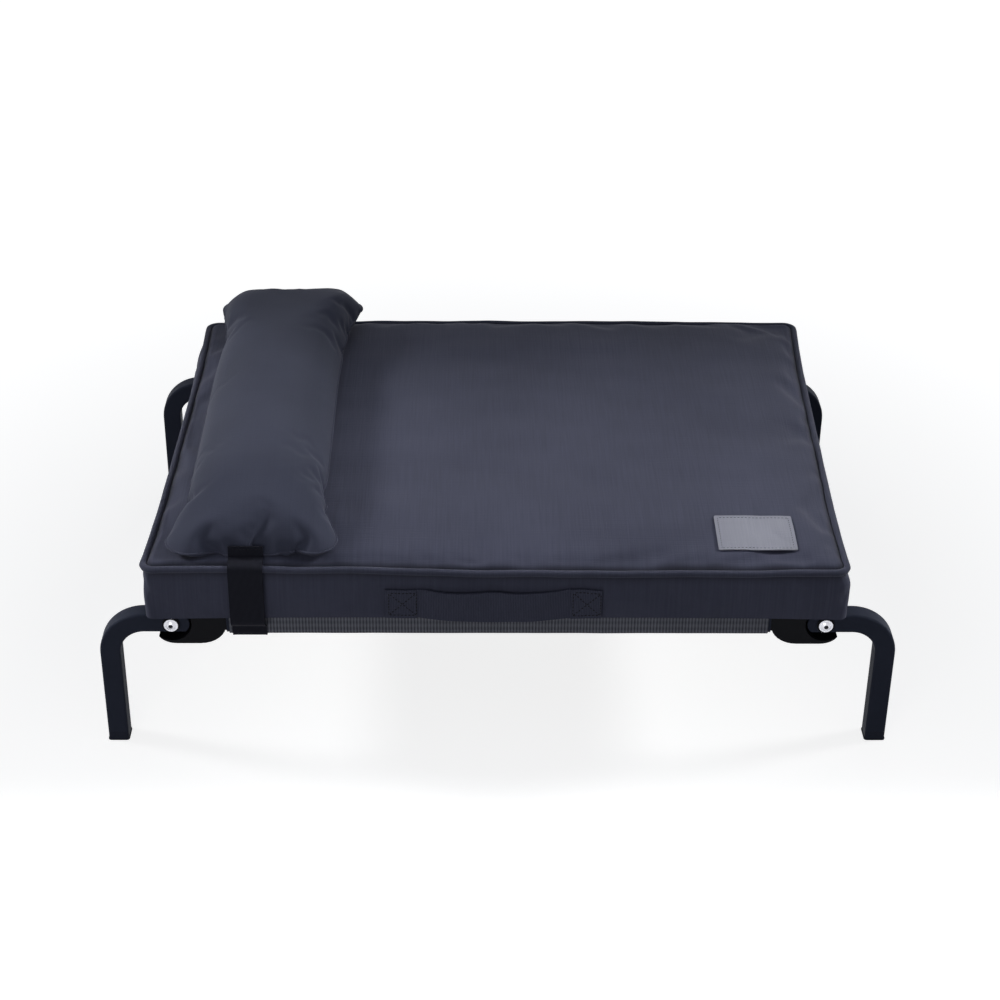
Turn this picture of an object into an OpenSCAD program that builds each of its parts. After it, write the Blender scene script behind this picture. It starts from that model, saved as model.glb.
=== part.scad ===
// Raised dog cot: a bolted tube frame with a stretched mesh deck, a boxed cushion and a strapped-on pillow.
// +X runs along the length, +Y to the back and +Z up. The origin is on the floor under the middle of the cot.

/* [Frame] */
// Length over the outer faces of the legs
cot_length = 780; // [720:1:900]
// Width over the front and back faces of the legs
cot_width = 506; // [460:1:620]
// Height of the top of the tubes above the floor
deck_height = 150; // [135:1:260]
// Outer size of the square tube
tube_size = 20; // [18:0.5:24]
// Wall of the tube
tube_wall = 1.2; // [0.8:0.1:2]
// Outer corner radius of the tube
tube_corner = 2.5; // [2.1:0.1:4]
// Bend radius of a leg at the middle of its tube
leg_bend = 35; // [28:1:42]
// Distance from the outer face of a leg to its bolt
bolt_inset = 72; // [70:1:90]

/* [Corner brackets] */
// Reach of a bracket from its bolt towards the middle of the cot
bracket_reach_in = 53; // [48:1:60]
// Reach of a bracket from its bolt towards the leg
bracket_reach_out = 14; // [12:1:18]
// Radius of the pocket that the end of the stub sits in
pocket_radius = 19.5; // [18.5:0.5:22]
// Plastic left under the pocket
bracket_lip = 3.5; // [2.5:0.5:5]
// Wall behind the stub
bracket_back = 8; // [6:0.5:12]
// Setback of the bracket behind the front face of the tube
bracket_setback = 0.5; // [0.2:0.1:2]
// Length of each spigot inside its rail
spigot_length = 28; // [20:1:40]
// Run of the rounded nose of a bracket
nose_run = 26; // [16:1:30]
// Rise of the rounded nose of a bracket
nose_rise = 22; // [12:1:24]
// Run of the rounded tail of a bracket
tail_run = 18; // [10:1:24]
// Rise of the rounded tail of a bracket
tail_rise = 12.5; // [8:0.5:14]

/* [Feet] */
// Height of a foot plug below its tube
foot_height = 10; // [6:0.5:16]
// Height of a foot plug's stem inside its tube
foot_stem = 18; // [12:1:30]
// How far the lip of a foot plug stands out
foot_lip = 0.6; // [0.3:0.1:1.5]
// Height of that lip
foot_lip_height = 1.2; // [0.8:0.1:3]

/* [Fasteners] */
// Thread diameter of the bolts
bolt_diameter = 6; // [5:1:8]
// Flange diameter of a bolt head
head_diameter = 13.6; // [12:0.2:16]
// Diameter of the domed part of a bolt head
dome_diameter = 10.5; // [9:0.1:11.5]
// Thickness of the flange of a bolt head
flange_thickness = 1.1; // [0.8:0.1:1.6]
// Height of the dome above the flange
dome_height = 2.2; // [1.6:0.1:3]
// Size of the hex socket across its flats
socket_size = 4; // [3:0.5:5]
// Depth of the hex socket
socket_depth = 2; // [1.2:0.1:2.4]
// Diameter of a washer
washer_diameter = 17; // [16.2:0.2:20]
// Thickness of a washer
washer_thickness = 2; // [1:0.2:3]
// Size of a lock nut across its flats
nut_size = 10; // [9:0.5:12]
// Height of a lock nut
nut_height = 6; // [5:0.5:8]
// Length of thread that stands out of the spigot
bolt_tip = 2; // [1:0.5:5]

/* [Mesh deck] */
// Thickness of the mesh
mesh_thickness = 1; // [0.6:0.1:1.6]
// Distance from the end of a long sleeve to the bracket
sleeve_end_gap = 3; // [1:0.5:8]
// Length of the end rail left bare next to each bracket
end_sleeve_gap = 12; // [6:1:30]

/* [Cushion] */
// Distance from the outer face of the legs to the end of the cushion
cushion_end_margin = 45; // [25:1:60]
// How far the cushion stands out past the front of the legs
cushion_overhang = 17; // [12:1:30]
// Height of the side band, from the bottom to the top seam
band_height = 55; // [50:1:80]
// Rise of the crown above the top seam
cushion_crown = 11; // [6:0.5:20]
// Distance from the seam over which the crown rises
crown_run = 95; // [60:1:110]
// Corner radius of the cushion
cushion_corner = 20; // [16:1:45]
// How far the sides are drawn in between the corners
draw_in = 4; // [2:0.5:6]
// Distance along a side over which it is drawn in
draw_run = 45; // [30:1:60]
// How far the band swells out below the seam
band_swell = 3; // [1:0.5:4]
// Height over which the band turns in to the seam
seam_turn = 12; // [8:0.5:14]
// Height over which the band turns in to the bottom
bottom_turn = 5; // [3:0.5:8]
// How far the bottom edge is tucked in
bottom_tuck = 2; // [1:0.5:5]
// Diameter of the piping
piping_diameter = 7; // [5:0.5:9]
// Foam left out around the core, for the wadding
wadding = 8; // [6:0.5:14]

/* [Carry handle] */
// Length of the handle over its sewn ends
handle_length = 208; // [180:1:260]
// Width of the webbing
handle_width = 33; // [28:1:36]
// Thickness of the webbing
webbing_thickness = 1.6; // [1:0.1:2]
// Length of each sewn end
sewn_length = 31; // [25:1:40]
// How far the free part stands off the band
handle_bow = 6; // [5:0.2:6.5]
// Place of the handle along the cot
handle_place = -6; // [-20:1:20]
// Height of the handle above the bottom of the cushion
handle_rise = 2; // [1:0.5:5]

/* [Patch] */
// Length of the sewn-on patch
patch_length = 76; // [50:1:100]
// Width of the patch
patch_width = 56; // [40:1:70]
// Thickness of the patch
patch_thickness = 0.9; // [0.6:0.1:1.5]
// Distance from the end of the cushion to the middle of the patch
patch_from_end = 96; // [70:1:130]
// Distance from the front of the cushion to the middle of the patch
patch_from_front = 61; // [50:1:90]

/* [Zip] */
// Length of the zip
zip_length = 340; // [250:1:345]
// Width of the zip's tape
tape_width = 26; // [20:1:28]
// Thickness of the tape
tape_thickness = 0.8; // [0.6:0.1:1.2]
// Width of the closed teeth
teeth_width = 5; // [3:0.5:6]
// Height of the teeth above the tape
teeth_height = 1.2; // [0.8:0.1:1.6]
// Height of the zip above the bottom of the cushion
zip_rise = 25; // [22:0.5:28]
// Length of the slider
slider_length = 12; // [9:0.5:16]
// Width of the slider
slider_width = 9; // [8:0.5:12]
// Plate of the slider above the teeth
slider_plate = 1.4; // [1:0.1:2]
// Distance from the end of the zip to its slider
slider_margin = 6; // [3:0.5:12]
// Width of each post that holds the slider's bar
post_width = 1.6; // [1.2:0.1:2.4]
// Diameter of the bar that the pull hangs from
bar_diameter = 1.6; // [1.2:0.1:2]
// Wall of the pull's eye
eye_wall = 1.1; // [0.8:0.1:1.4]
// Width of the pull at its eye and tab
pull_width = 5; // [3:0.5:6]
// Length of the pull below its bar
pull_length = 18; // [12:1:20]
// Thickness of the pull
pull_thickness = 1.2; // [0.8:0.1:1.6]

/* [Pillow] */
// Distance from each end of the pillow to the edge of the cushion
pillow_end_gap = 18; // [12:1:30]
// Width of the pillow at its waist
waist_width = 134; // [110:1:160]
// Width of the pillow near its ends
ear_width = 184; // [150:1:210]
// Height of the pillow
pillow_height = 62; // [45:1:80]
// Height of the pillow's side seams above its bottom
belly_rise = 20; // [14:1:24]
// How far the ends of the pillow droop
tip_drop = 7; // [0:0.5:8]
// Thickness of the pillow's cover
cover_thickness = 4; // [2:0.5:6]
// Place of the pillow's middle from the strap's middle
pillow_shift = 6; // [-10:1:15]

/* [Pillow strap] */
// Width of the elastic strap
strap_width = 33; // [20:1:36]
// Thickness of the strap
strap_thickness = 1.5; // [1:0.1:2]
// Distance from the strap to the bracket beside it
strap_gap = 6.5; // [3:0.5:20]

/* [Clearances] */
// Gap on each side of a plug or spigot in its tube
plug_clear = 0.25; // [0.1:0.05:0.4]
// Extra radius of a bolt hole
hole_clear = 0.3; // [0.2:0.05:0.6]
// Gap between a tube and the sleeve round it
sleeve_clear = 0.3; // [0.2:0.05:0.6]
// Gap between soft pieces that lie on each other
soft_clear = 0.3; // [0.2:0.05:0.5]
// Gap between the strap and what it goes round
strap_clear = 0.4; // [0.3:0.05:0.8]
// Gap between a bolt's thread and its nut
thread_clear = 0.05; // [0.02:0.01:0.2]
// Running gap round the teeth and the bar of the zip
zip_clear = 0.1; // [0.05:0.01:0.3]

/* [Hidden] */
$fn = 48;

// Colours
steel_colour = [0.11, 0.125, 0.155];
plastic_colour = [0.08, 0.085, 0.085];
bolt_colour = [0.84, 0.84, 0.87];
mesh_colour = [0.23, 0.235, 0.26];
cushion_colour = [0.27, 0.28, 0.34];
piping_colour = [0.24, 0.25, 0.31];
foam_colour = [0.85, 0.83, 0.76];
webbing_colour = [0.17, 0.17, 0.21];
strap_colour = [0.095, 0.098, 0.12];
patch_colour = [0.59, 0.6, 0.65];

// A little extra, so that a cut passes right through a face
cut = 1;

// Lines and planes of the frame
half_length = cot_length / 2;
half_width = cot_width / 2;
leg_x = half_length - tube_size / 2;
rail_y = half_width - tube_size / 2;
rail_z = deck_height - tube_size / 2;
bend_z = rail_z - leg_bend;
bolt_x = half_length - bolt_inset;
inside_size = tube_size - 2 * tube_wall;
plug_size = inside_size - 2 * plug_clear;
plug_corner = max(tube_corner - tube_wall - plug_clear, 0.4);

// Planes of a bracket
bracket_in_x = bolt_x - bracket_reach_in;
bracket_out_x = bolt_x + bracket_reach_out;
bracket_bottom = rail_z - pocket_radius - bracket_lip;
bracket_front_y = half_width - bracket_setback;
stub_back_y = rail_y - tube_size / 2;
pocket_back_y = stub_back_y - plug_clear;
bracket_back_y = stub_back_y - bracket_back;
pocket_gap = 2;
stub_past_bolt = pocket_radius - pocket_gap;
stub_end_radius = 0.56 * tube_size;

// Fasteners
hole_radius = bolt_diameter / 2 + hole_clear;
bolt_length = washer_thickness + tube_size + bracket_back + spigot_length + bolt_tip;
nut_radius = nut_size / 2 / cos(30);
nut_bore = bolt_diameter / 2 + thread_clear;
nut_inner_y = bracket_back_y - spigot_length;

// Mesh deck
sleeve_inside = tube_size + 2 * sleeve_clear;
sleeve_outside = sleeve_inside + 2 * mesh_thickness;
deck_underside = deck_height + sleeve_clear;
deck_top = deck_underside + mesh_thickness;
sleeve_bottom = deck_height - tube_size - sleeve_clear - mesh_thickness;
long_sleeve_half = bracket_in_x - sleeve_end_gap;
end_sleeve_half = bracket_back_y - end_sleeve_gap;
deck_half_x = bolt_x + sleeve_outside / 2;
deck_half_y = rail_y + sleeve_outside / 2;

// Cushion. The edge is the seam that the top panel, the band and the piping share.
cushion_x = half_length - cushion_end_margin;
cushion_y = half_width + cushion_overhang;
piping_radius = piping_diameter / 2;
piping_step = piping_radius + soft_clear;
edge_x = cushion_x - piping_radius - piping_step;
edge_y = cushion_y - piping_radius - piping_step;
cushion_bottom = deck_top + soft_clear;
seam_z = cushion_bottom + band_height;
plateau_z = seam_z + cushion_crown;
band_face_x = edge_x - draw_in + band_swell;
band_face_y = edge_y - draw_in + band_swell;

// Points round the cushion: per corner, per drawn-in stretch, and along the middle of each side
corner_steps = 5;
draw_steps = 3;
long_steps = 6;
short_steps = 4;
// Rings over the crown, which lie closer together towards the seam
crown_steps = 6;
crown_spread = 1.4;

// Form of the pillow: points round it, how thick its ends stay and how its curves bend
pillow_sides = 28;
tip_drop_sharpness = 10;
end_fullness = 0.06;
least_half = 1.2;
least_taper = 0.2;
ear_sharpness = 2.5;
ear_rounding = 0.14;
ear_rounding_sharpness = 14;
side_roundness = 0.8;
top_roundness = 0.95;
bottom_roundness = 0.7;

// Pillow and strap
strap_x = -(bracket_in_x - strap_gap - strap_width / 2);
pillow_x = strap_x + pillow_shift;
pillow_half = cushion_y - pillow_end_gap;
pillow_bottom = plateau_z + soft_clear;
pillow_end_z = pillow_middle(1);

// Shared shapes

module rounded_square(size, radius) {
    square([size, size - 2 * radius], center = true);
    square([size - 2 * radius, size], center = true);
    for (x = [-1, 1], y = [-1, 1])
        translate([x * (size / 2 - radius), y * (size / 2 - radius)]) circle(radius);
}

module tube_profile() {
    difference() {
        rounded_square(tube_size, tube_corner);
        rounded_square(inside_size, tube_corner - tube_wall);
    }
}

// Puts a piece that is drawn for the front right corner at any corner
module at_corner(side, end) {
    mirror([side < 0 ? 1 : 0, 0, 0]) mirror([0, end > 0 ? 1 : 0, 0]) children();
}

module at_each_corner() {
    for (side = [-1, 1], end = [-1, 1]) at_corner(side, end) children();
}

// A cylinder along +Y that starts at the given depth behind the front of the cot
module along_y(radius, start, length, sides = 48) {
    translate([bolt_x, start, rail_z]) rotate([-90, 0, 0]) cylinder(r = radius, h = length, $fn = sides);
}

// A closed skin over rings of points that follow each other, with a middle point at each end
module skin(rings, first, last) {
    count = len(rings[0]);
    total = len(rings) * count;
    points = concat([for (ring = rings) each ring], [first, last]);
    first_fan = [for (i = [0 : count - 1]) [total, i, (i + 1) % count]];
    last_fan = [for (i = [0 : count - 1])
        [total + 1, total - count + (i + 1) % count, total - count + i]];
    walls = [for (k = [0 : len(rings) - 2], i = [0 : count - 1], half = [0, 1])
        let (a = k * count + i, b = k * count + (i + 1) % count)
        half == 0 ? [a, a + count, b] : [b, a + count, b + count]];
    polyhedron(points, concat(first_fan, walls, last_fan));
}

// Frame

module leg(side, end) {
    color(steel_colour) at_corner(side, end) difference() {
        union() {
            translate([leg_x, -rail_y, foot_height]) linear_extrude(bend_z - foot_height) tube_profile();
            translate([leg_x - leg_bend, -rail_y, bend_z]) rotate([90, 0, 0])
                rotate_extrude(angle = 90) translate([leg_bend, 0]) tube_profile();
            translate([bolt_x - stub_past_bolt, -rail_y, rail_z]) rotate([0, 90, 0])
                linear_extrude(leg_x - leg_bend - bolt_x + stub_past_bolt) tube_profile();
        }
        along_y(hole_radius, -half_width - cut, tube_size + 2 * cut);
        stub_end_cut();
    }
}

// Rounds off the end of a stub, so that it fits the round pocket
module stub_end_cut() {
    difference() {
        translate([bolt_x - stub_past_bolt - cut, -half_width - cut, rail_z - tube_size])
            cube([stub_end_radius + cut, tube_size + 2 * cut, 2 * tube_size]);
        translate([stub_end_radius - stub_past_bolt, 0, 0])
            along_y(stub_end_radius, -half_width - 2 * cut, tube_size + 4 * cut);
    }
}

module foot(side, end) {
    color(plastic_colour) at_corner(side, end) translate([leg_x, -rail_y, 0]) {
        linear_extrude(foot_lip_height) rounded_square(tube_size + 2 * foot_lip, tube_corner + foot_lip);
        linear_extrude(foot_height) rounded_square(tube_size, tube_corner);
        linear_extrude(foot_height + foot_stem) rounded_square(plug_size, plug_corner);
    }
}

// Points of a quarter ellipse, from one angle to another
function quarter(x, z, run, rise, from, to, steps = 8) =
    [for (i = [0 : steps]) let (a = from + (to - from) * i / steps) [x + run * cos(a), z + rise * sin(a)]];

module bracket(side, end) {
    outline = concat(
        [[bracket_in_x, deck_height]],
        quarter(bracket_in_x + nose_run, bracket_bottom + nose_rise, nose_run, nose_rise, 180, 270),
        quarter(bracket_out_x - tail_run, bracket_bottom + tail_rise, tail_run, tail_rise, 270, 360),
        [[bracket_out_x, deck_height]]
    );
    color(plastic_colour) at_corner(side, end) difference() {
        union() {
            translate([0, -bracket_back_y, 0]) rotate([90, 0, 0])
                linear_extrude(bracket_front_y - bracket_back_y) polygon(outline);
            translate([bracket_in_x - spigot_length, -rail_y, rail_z]) rotate([0, 90, 0])
                linear_extrude(spigot_length + nose_run / 2) rounded_square(plug_size, plug_corner);
            translate([bolt_x, -bracket_back_y, rail_z]) rotate([-90, 0, 0])
                linear_extrude(spigot_length) rounded_square(plug_size, plug_corner);
        }
        along_y(pocket_radius, -half_width - cut, half_width + cut - pocket_back_y);
        translate([bolt_x, -half_width - cut, rail_z - tube_size / 2 - plug_clear])
            cube([bracket_reach_out + cut, half_width + cut - pocket_back_y, tube_size + plug_clear + cut]);
        along_y(hole_radius, -half_width, half_width - nut_inner_y + cut);
        along_y(nut_radius + plug_clear, -nut_inner_y - nut_height, nut_height + cut, 6);
    }
}

module long_rail(end) {
    length = 2 * (bracket_in_x - plug_clear);
    color(steel_colour) translate([-length / 2, end * rail_y, rail_z]) rotate([0, 90, 0])
        linear_extrude(length) tube_profile();
}

module end_rail(side) {
    length = 2 * (bracket_back_y - plug_clear);
    color(steel_colour) translate([side * bolt_x, length / 2, rail_z]) rotate([90, 0, 0])
        linear_extrude(length) tube_profile();
}

module frame_bolts() {
    dome_radius = (pow(dome_diameter / 2, 2) + pow(dome_height, 2)) / (2 * dome_height);
    head_y = -half_width - washer_thickness;
    head_top = head_y - flange_thickness - dome_height;
    color(bolt_colour) at_each_corner() difference() {
        union() {
            along_y(bolt_diameter / 2, head_y, bolt_length);
            along_y(head_diameter / 2, head_y - flange_thickness, flange_thickness);
            intersection() {
                along_y(dome_diameter / 2, head_top, dome_height);
                translate([bolt_x, head_top + dome_radius, rail_z]) sphere(dome_radius);
            }
        }
        along_y(socket_size / 2 / cos(30), head_top - cut, socket_depth + cut, 6);
    }
}

module bolt_washers() {
    color(plastic_colour) at_each_corner() difference() {
        along_y(washer_diameter / 2, -half_width - washer_thickness, washer_thickness);
        along_y(hole_radius, -half_width - washer_thickness - cut, washer_thickness + 2 * cut);
    }
}

module lock_nuts() {
    color(bolt_colour) at_each_corner() difference() {
        along_y(nut_radius, -nut_inner_y - nut_height, nut_height, 6);
        along_y(nut_bore, -nut_inner_y - nut_height - cut, nut_height + 2 * cut);
    }
}

// Mesh deck: a flat sheet over the rails, with a hem under each edge that makes a sleeve for the rail

module mesh_deck() {
    corners = [
        [deck_half_x, end_sleeve_half],
        [long_sleeve_half, end_sleeve_half],
        [long_sleeve_half, deck_half_y]
    ];
    color(mesh_colour) translate([0, 0, deck_underside]) linear_extrude(mesh_thickness) polygon(concat(
        corners,
        [for (i = [2 : -1 : 0]) [-corners[i].x, corners[i].y]],
        [for (p = corners) [-p.x, -p.y]],
        [for (i = [2 : -1 : 0]) [corners[i].x, -corners[i].y]]
    ));
}

// Cross-section of a hem: a channel with a round bottom and straight sides up to the sheet that it is sewn to
module hem_profile() {
    difference() {
        rounded_square(sleeve_outside, tube_corner + sleeve_clear + mesh_thickness);
        rounded_square(sleeve_inside, tube_corner + sleeve_clear);
        translate([-sleeve_outside, 0]) square([2 * sleeve_outside, sleeve_outside]);
    }
    for (x = [-1, 1])
        translate([x * (sleeve_outside - mesh_thickness) / 2 - mesh_thickness / 2, -cut])
            square([mesh_thickness, deck_underside - rail_z + cut]);
}

module long_sleeve(end) {
    color(mesh_colour) translate([-long_sleeve_half, end * rail_y, rail_z]) rotate([90, 0, 90])
        linear_extrude(2 * long_sleeve_half) hem_profile();
}

module end_sleeve(side) {
    color(mesh_colour) translate([side * bolt_x, end_sleeve_half, rail_z]) rotate([90, 0, 0])
        linear_extrude(2 * end_sleeve_half) hem_profile();
}

// Cushion

function ease(t) = t * t * (3 - 2 * t);

// One side of the outline, from corner to corner, as [place along the side, how far it is drawn in]
function side_run(half, steps) =
    let (straight = half - draw_run)
    concat(
        [for (k = [1 : draw_steps]) [-half + draw_run * k / draw_steps, draw_in * ease(k / draw_steps)]],
        [for (i = [1 : steps - 1]) [-straight + 2 * straight * i / steps, draw_in]],
        [for (k = [draw_steps : -1 : 1]) [half - draw_run * k / draw_steps, draw_in * ease(k / draw_steps)]]
    );

function corner_run(x, y, radius, from) =
    [for (i = [0 : corner_steps]) let (a = from + 90 * i / corner_steps)
        [x + radius * cos(a), y + radius * sin(a)]];

// The outline of the cushion, moved outwards by grow, anticlockwise from the front right corner
function outline(grow) =
    let (
        x = edge_x - cushion_corner,
        y = edge_y - cushion_corner,
        reach = cushion_corner + grow,
        radius = max(reach, 2),
        far_x = min(x, x + reach - radius),
        far_y = min(y, y + reach - radius),
        long = side_run(far_x, long_steps),
        short = side_run(far_y, short_steps)
    )
    concat(
        corner_run(far_x, -far_y, radius, 270),
        [for (p = short) [far_x + radius - p[1], p[0]]],
        corner_run(far_x, far_y, radius, 0),
        [for (p = long) [-p[0], far_y + radius - p[1]]],
        corner_run(-far_x, far_y, radius, 90),
        [for (p = short) [-far_x - radius + p[1], -p[0]]],
        corner_run(-far_x, -far_y, radius, 180),
        [for (p = long) [p[0], -far_y - radius + p[1]]]
    );

function ring(grow, z) = [for (p = outline(grow)) [p.x, p.y, z]];

// Height of the crown over a point of the cushion
function rise_from(distance) = 1 - pow(1 - min(max(distance, 0) / crown_run, 1), 2);
function crown_z(x, y) =
    seam_z + cushion_crown * rise_from(edge_x - draw_in - abs(x)) * rise_from(edge_y - draw_in - abs(y));

function crown_ring(inset) = [for (p = outline(-inset)) [p.x, p.y, crown_z(p.x, p.y)]];

module cushion_cover() {
    rings = concat(
        [ring(-bottom_tuck, cushion_bottom),
         ring(band_swell, cushion_bottom + bottom_turn),
         ring(band_swell, seam_z - seam_turn),
         ring(band_swell / 2, seam_z - seam_turn / 2),
         ring(0, seam_z)],
        [for (k = [1 : crown_steps]) crown_ring(crown_run * pow(k / crown_steps, crown_spread))]
    );
    color(cushion_colour) difference() {
        skin(rings, [0, 0, cushion_bottom], [0, 0, plateau_z]);
        core_block(soft_clear);
    }
}

// The foam block, grown by the gap round it
module core_block(gap) {
    half_x = edge_x - draw_in - wadding;
    half_y = edge_y - draw_in - wadding;
    base = cushion_bottom + wadding / 2;
    translate([-half_x - gap, -half_y - gap, base - gap])
        cube([2 * (half_x + gap), 2 * (half_y + gap), seam_z - wadding / 2 - base + 2 * gap]);
}

module cushion_core() {
    color(foam_colour) core_block(0);
}

// The piping cord: a tube along the seam
module cushion_piping() {
    sides = 8;
    path = outline(piping_step);
    count = len(path);
    points = [for (i = [0 : count - 1])
        let (
            ahead = path[(i + 1) % count],
            behind = path[(i + count - 1) % count],
            along = (ahead - behind) / norm(ahead - behind)
        )
        for (s = [0 : sides - 1])
            let (a = 360 * s / sides, out = piping_radius * cos(a))
            [path[i].x + along.y * out, path[i].y - along.x * out, seam_z + piping_radius * sin(a)]];
    faces = [for (i = [0 : count - 1], s = [0 : sides - 1], half = [0, 1])
        let (
            a = i * sides + s,
            b = i * sides + (s + 1) % sides,
            c = ((i + 1) % count) * sides + s,
            d = ((i + 1) % count) * sides + (s + 1) % sides
        )
        half == 0 ? [a, b, c] : [b, d, c]];
    color(piping_colour) polyhedron(points, faces);
}

// The handle: sewn flat at both ends, with a free part that stands off the band
module carry_handle() {
    steps = 24;
    free_half = handle_length / 2 - sewn_length;
    base = -band_face_y;
    bow = [for (i = [0 : steps])
        let (s = -1 + 2 * i / steps) [s * free_half, base - handle_bow * pow(1 - s * s * s * s, 1.5)]];
    inner = concat([[-handle_length / 2, base]], bow, [[handle_length / 2, base]]);
    outer = [for (i = [len(inner) - 1 : -1 : 0]) [inner[i].x, inner[i].y - webbing_thickness]];
    color(webbing_colour) translate([handle_place, 0, cushion_bottom + handle_rise])
        linear_extrude(handle_width) polygon(concat(inner, outer));
}

// The patch: a thin plate that follows the crown
module sewn_patch() {
    columns = 6;
    rows = 5;
    middle_x = cushion_x - patch_from_end;
    middle_y = -cushion_y + patch_from_front;
    place = [for (j = [0 : rows], i = [0 : columns])
        [middle_x + patch_length * (i / columns - 0.5), middle_y + patch_width * (j / rows - 0.5)]];
    count = len(place);
    points = concat(
        [for (p = place) [p.x, p.y, crown_z(p.x, p.y) + soft_clear]],
        [for (p = place) [p.x, p.y, crown_z(p.x, p.y) + soft_clear + patch_thickness]]
    );
    wide = columns + 1;
    under = [for (j = [0 : rows - 1], i = [0 : columns - 1], half = [0, 1])
        let (a = j * wide + i) half == 0 ? [a, a + 1, a + wide] : [a + 1, a + wide + 1, a + wide]];
    over = [for (f = under) [count + f[0], count + f[2], count + f[1]]];
    rim = concat(
        [for (i = [0 : columns]) i],
        [for (j = [1 : rows]) j * wide + columns],
        [for (i = [columns - 1 : -1 : 0]) rows * wide + i],
        [for (j = [rows - 1 : -1 : 1]) j * wide]
    );
    edge = [for (i = [0 : len(rim) - 1], half = [0, 1])
        let (a = rim[i], b = rim[(i + 1) % len(rim)])
        half == 0 ? [a, count + a, b] : [b, count + a, count + b]];
    color(patch_colour) polyhedron(points, concat(under, over, edge));
}

// Zip, on the right-hand end of the band

zip_z = cushion_bottom + zip_rise;
tape_x = band_face_x + tape_thickness;
teeth_x = tape_x + teeth_height;
slider_x = tape_x + zip_clear;
slider_top = teeth_x + zip_clear + slider_plate;
eye_radius = bar_diameter / 2 + zip_clear / 2 + eye_wall;
bar_x = slider_top + eye_radius + zip_clear;
slider_y = zip_length / 2 - slider_length / 2 - slider_margin;

// A block by its lowest corner and its highest corner
module block(low, high) {
    translate(low) cube(high - low);
}

module zip_tape() {
    color(webbing_colour) {
        block([band_face_x, -zip_length / 2, zip_z - tape_width / 2],
              [tape_x, zip_length / 2, zip_z + tape_width / 2]);
        block([band_face_x, -zip_length / 2, zip_z - teeth_width / 2],
              [teeth_x, zip_length / 2, zip_z + teeth_width / 2]);
    }
}

module zip_slider() {
    channel = teeth_width / 2 + zip_clear;
    color(bolt_colour) {
        difference() {
            block([slider_x, slider_y - slider_length / 2, zip_z - slider_width / 2],
                  [slider_top, slider_y + slider_length / 2, zip_z + slider_width / 2]);
            block([slider_x - cut, slider_y - slider_length, zip_z - channel],
                  [teeth_x + zip_clear, slider_y + slider_length, zip_z + channel]);
        }
        for (end = [-1, 1])
            translate([0, slider_y + end * (slider_length - post_width) / 2, 0])
                block([slider_top - cut / 2, -post_width / 2, zip_z - bar_diameter / 2],
                      [bar_x + bar_diameter / 2, post_width / 2, zip_z + bar_diameter / 2]);
        translate([bar_x, slider_y, zip_z]) rotate([90, 0, 0])
            cylinder(d = bar_diameter, h = slider_length - post_width, center = true);
    }
}

module zip_pull() {
    color(bolt_colour) translate([bar_x, slider_y, zip_z]) rotate([90, 0, 0]) difference() {
        union() {
            cylinder(r = eye_radius, h = pull_width, center = true);
            translate([-pull_thickness / 2, -pull_length, -pull_width / 2])
                cube([pull_thickness, pull_length, pull_width]);
        }
        cylinder(r = bar_diameter / 2 + zip_clear / 2, h = pull_width + 2 * cut, center = true);
    }
}

// Pillow

// How full the pillow is at a place from -1 to 1 along its length
function fullness(t) = sqrt(max(1 - pow(abs(t), 5), 0));

// Heights of the pillow's bottom and of its side seams at such a place
function pillow_base(place) = pillow_bottom - tip_drop * pow(abs(place), tip_drop_sharpness);
function pillow_middle(place) = pillow_base(place) + belly_rise * max(fullness(place), end_fullness);

// A number to a power, with its sign kept
function signed_power(v, p) = sign(v) * pow(abs(v), p);

// One cross-section of the pillow, drawn in by inset
function pillow_ring(t, inset) =
    let (
        y = t * (pillow_half - inset),
        middle = pillow_middle(y / pillow_half),
        full = max(fullness(t), end_fullness),
        least = least_half - inset * least_taper,
        ears = waist_width + (ear_width - waist_width) * pow(abs(t), ear_sharpness),
        wide = ears / 2 * (1 - ear_rounding * pow(abs(t), ear_rounding_sharpness)) - inset,
        up = max((pillow_height - belly_rise) * full - inset, least),
        down = max(belly_rise * full - inset, least)
    )
    [for (i = [0 : pillow_sides - 1])
        let (a = 360 * i / pillow_sides)
        [pillow_x + wide * signed_power(cos(a), side_roundness),
         y,
         middle + (sin(a) > 0 ? up * pow(sin(a), top_roundness) : -down * pow(-sin(a), bottom_roundness))]];

module pillow_form(inset) {
    stations = 20;
    rings = [for (k = [0 : stations]) pillow_ring(sin(90 * (1 - 2 * k / stations)), inset)];
    tip = pillow_half - inset;
    tip_z = pillow_middle(tip / pillow_half);
    skin(rings, [pillow_x, tip, tip_z], [pillow_x, -tip, tip_z]);
}

module pillow_cover() {
    color(cushion_colour) difference() {
        pillow_form(0);
        pillow_form(cover_thickness);
    }
}

module pillow_filling() {
    color(foam_colour) pillow_form(cover_thickness + soft_clear);
}

// The strap: sewn into both ends of the pillow, and taken down round the rails and under the deck

strap_half = strap_thickness / 2;
strap_lap = cover_thickness - soft_clear;
strap_slack = 1;
strap_turn_rise = 4;
strap_piping_y = edge_y - draw_in + piping_step;
strap_piping_radius = piping_radius + strap_clear + strap_half;
strap_rail_radius = tube_corner + sleeve_clear + mesh_thickness + strap_clear + strap_half;
strap_rail_y = half_width + sleeve_clear + mesh_thickness - strap_rail_radius + strap_clear + strap_half;
strap_rail_z = sleeve_bottom + strap_rail_radius - strap_clear - strap_half;

function arc(y, z, radius, from, to, steps = 6) =
    [for (i = [0 : steps])
        let (a = from + (to - from) * i / steps)
        [y + radius * cos(a), z + radius * sin(a)]];

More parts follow.
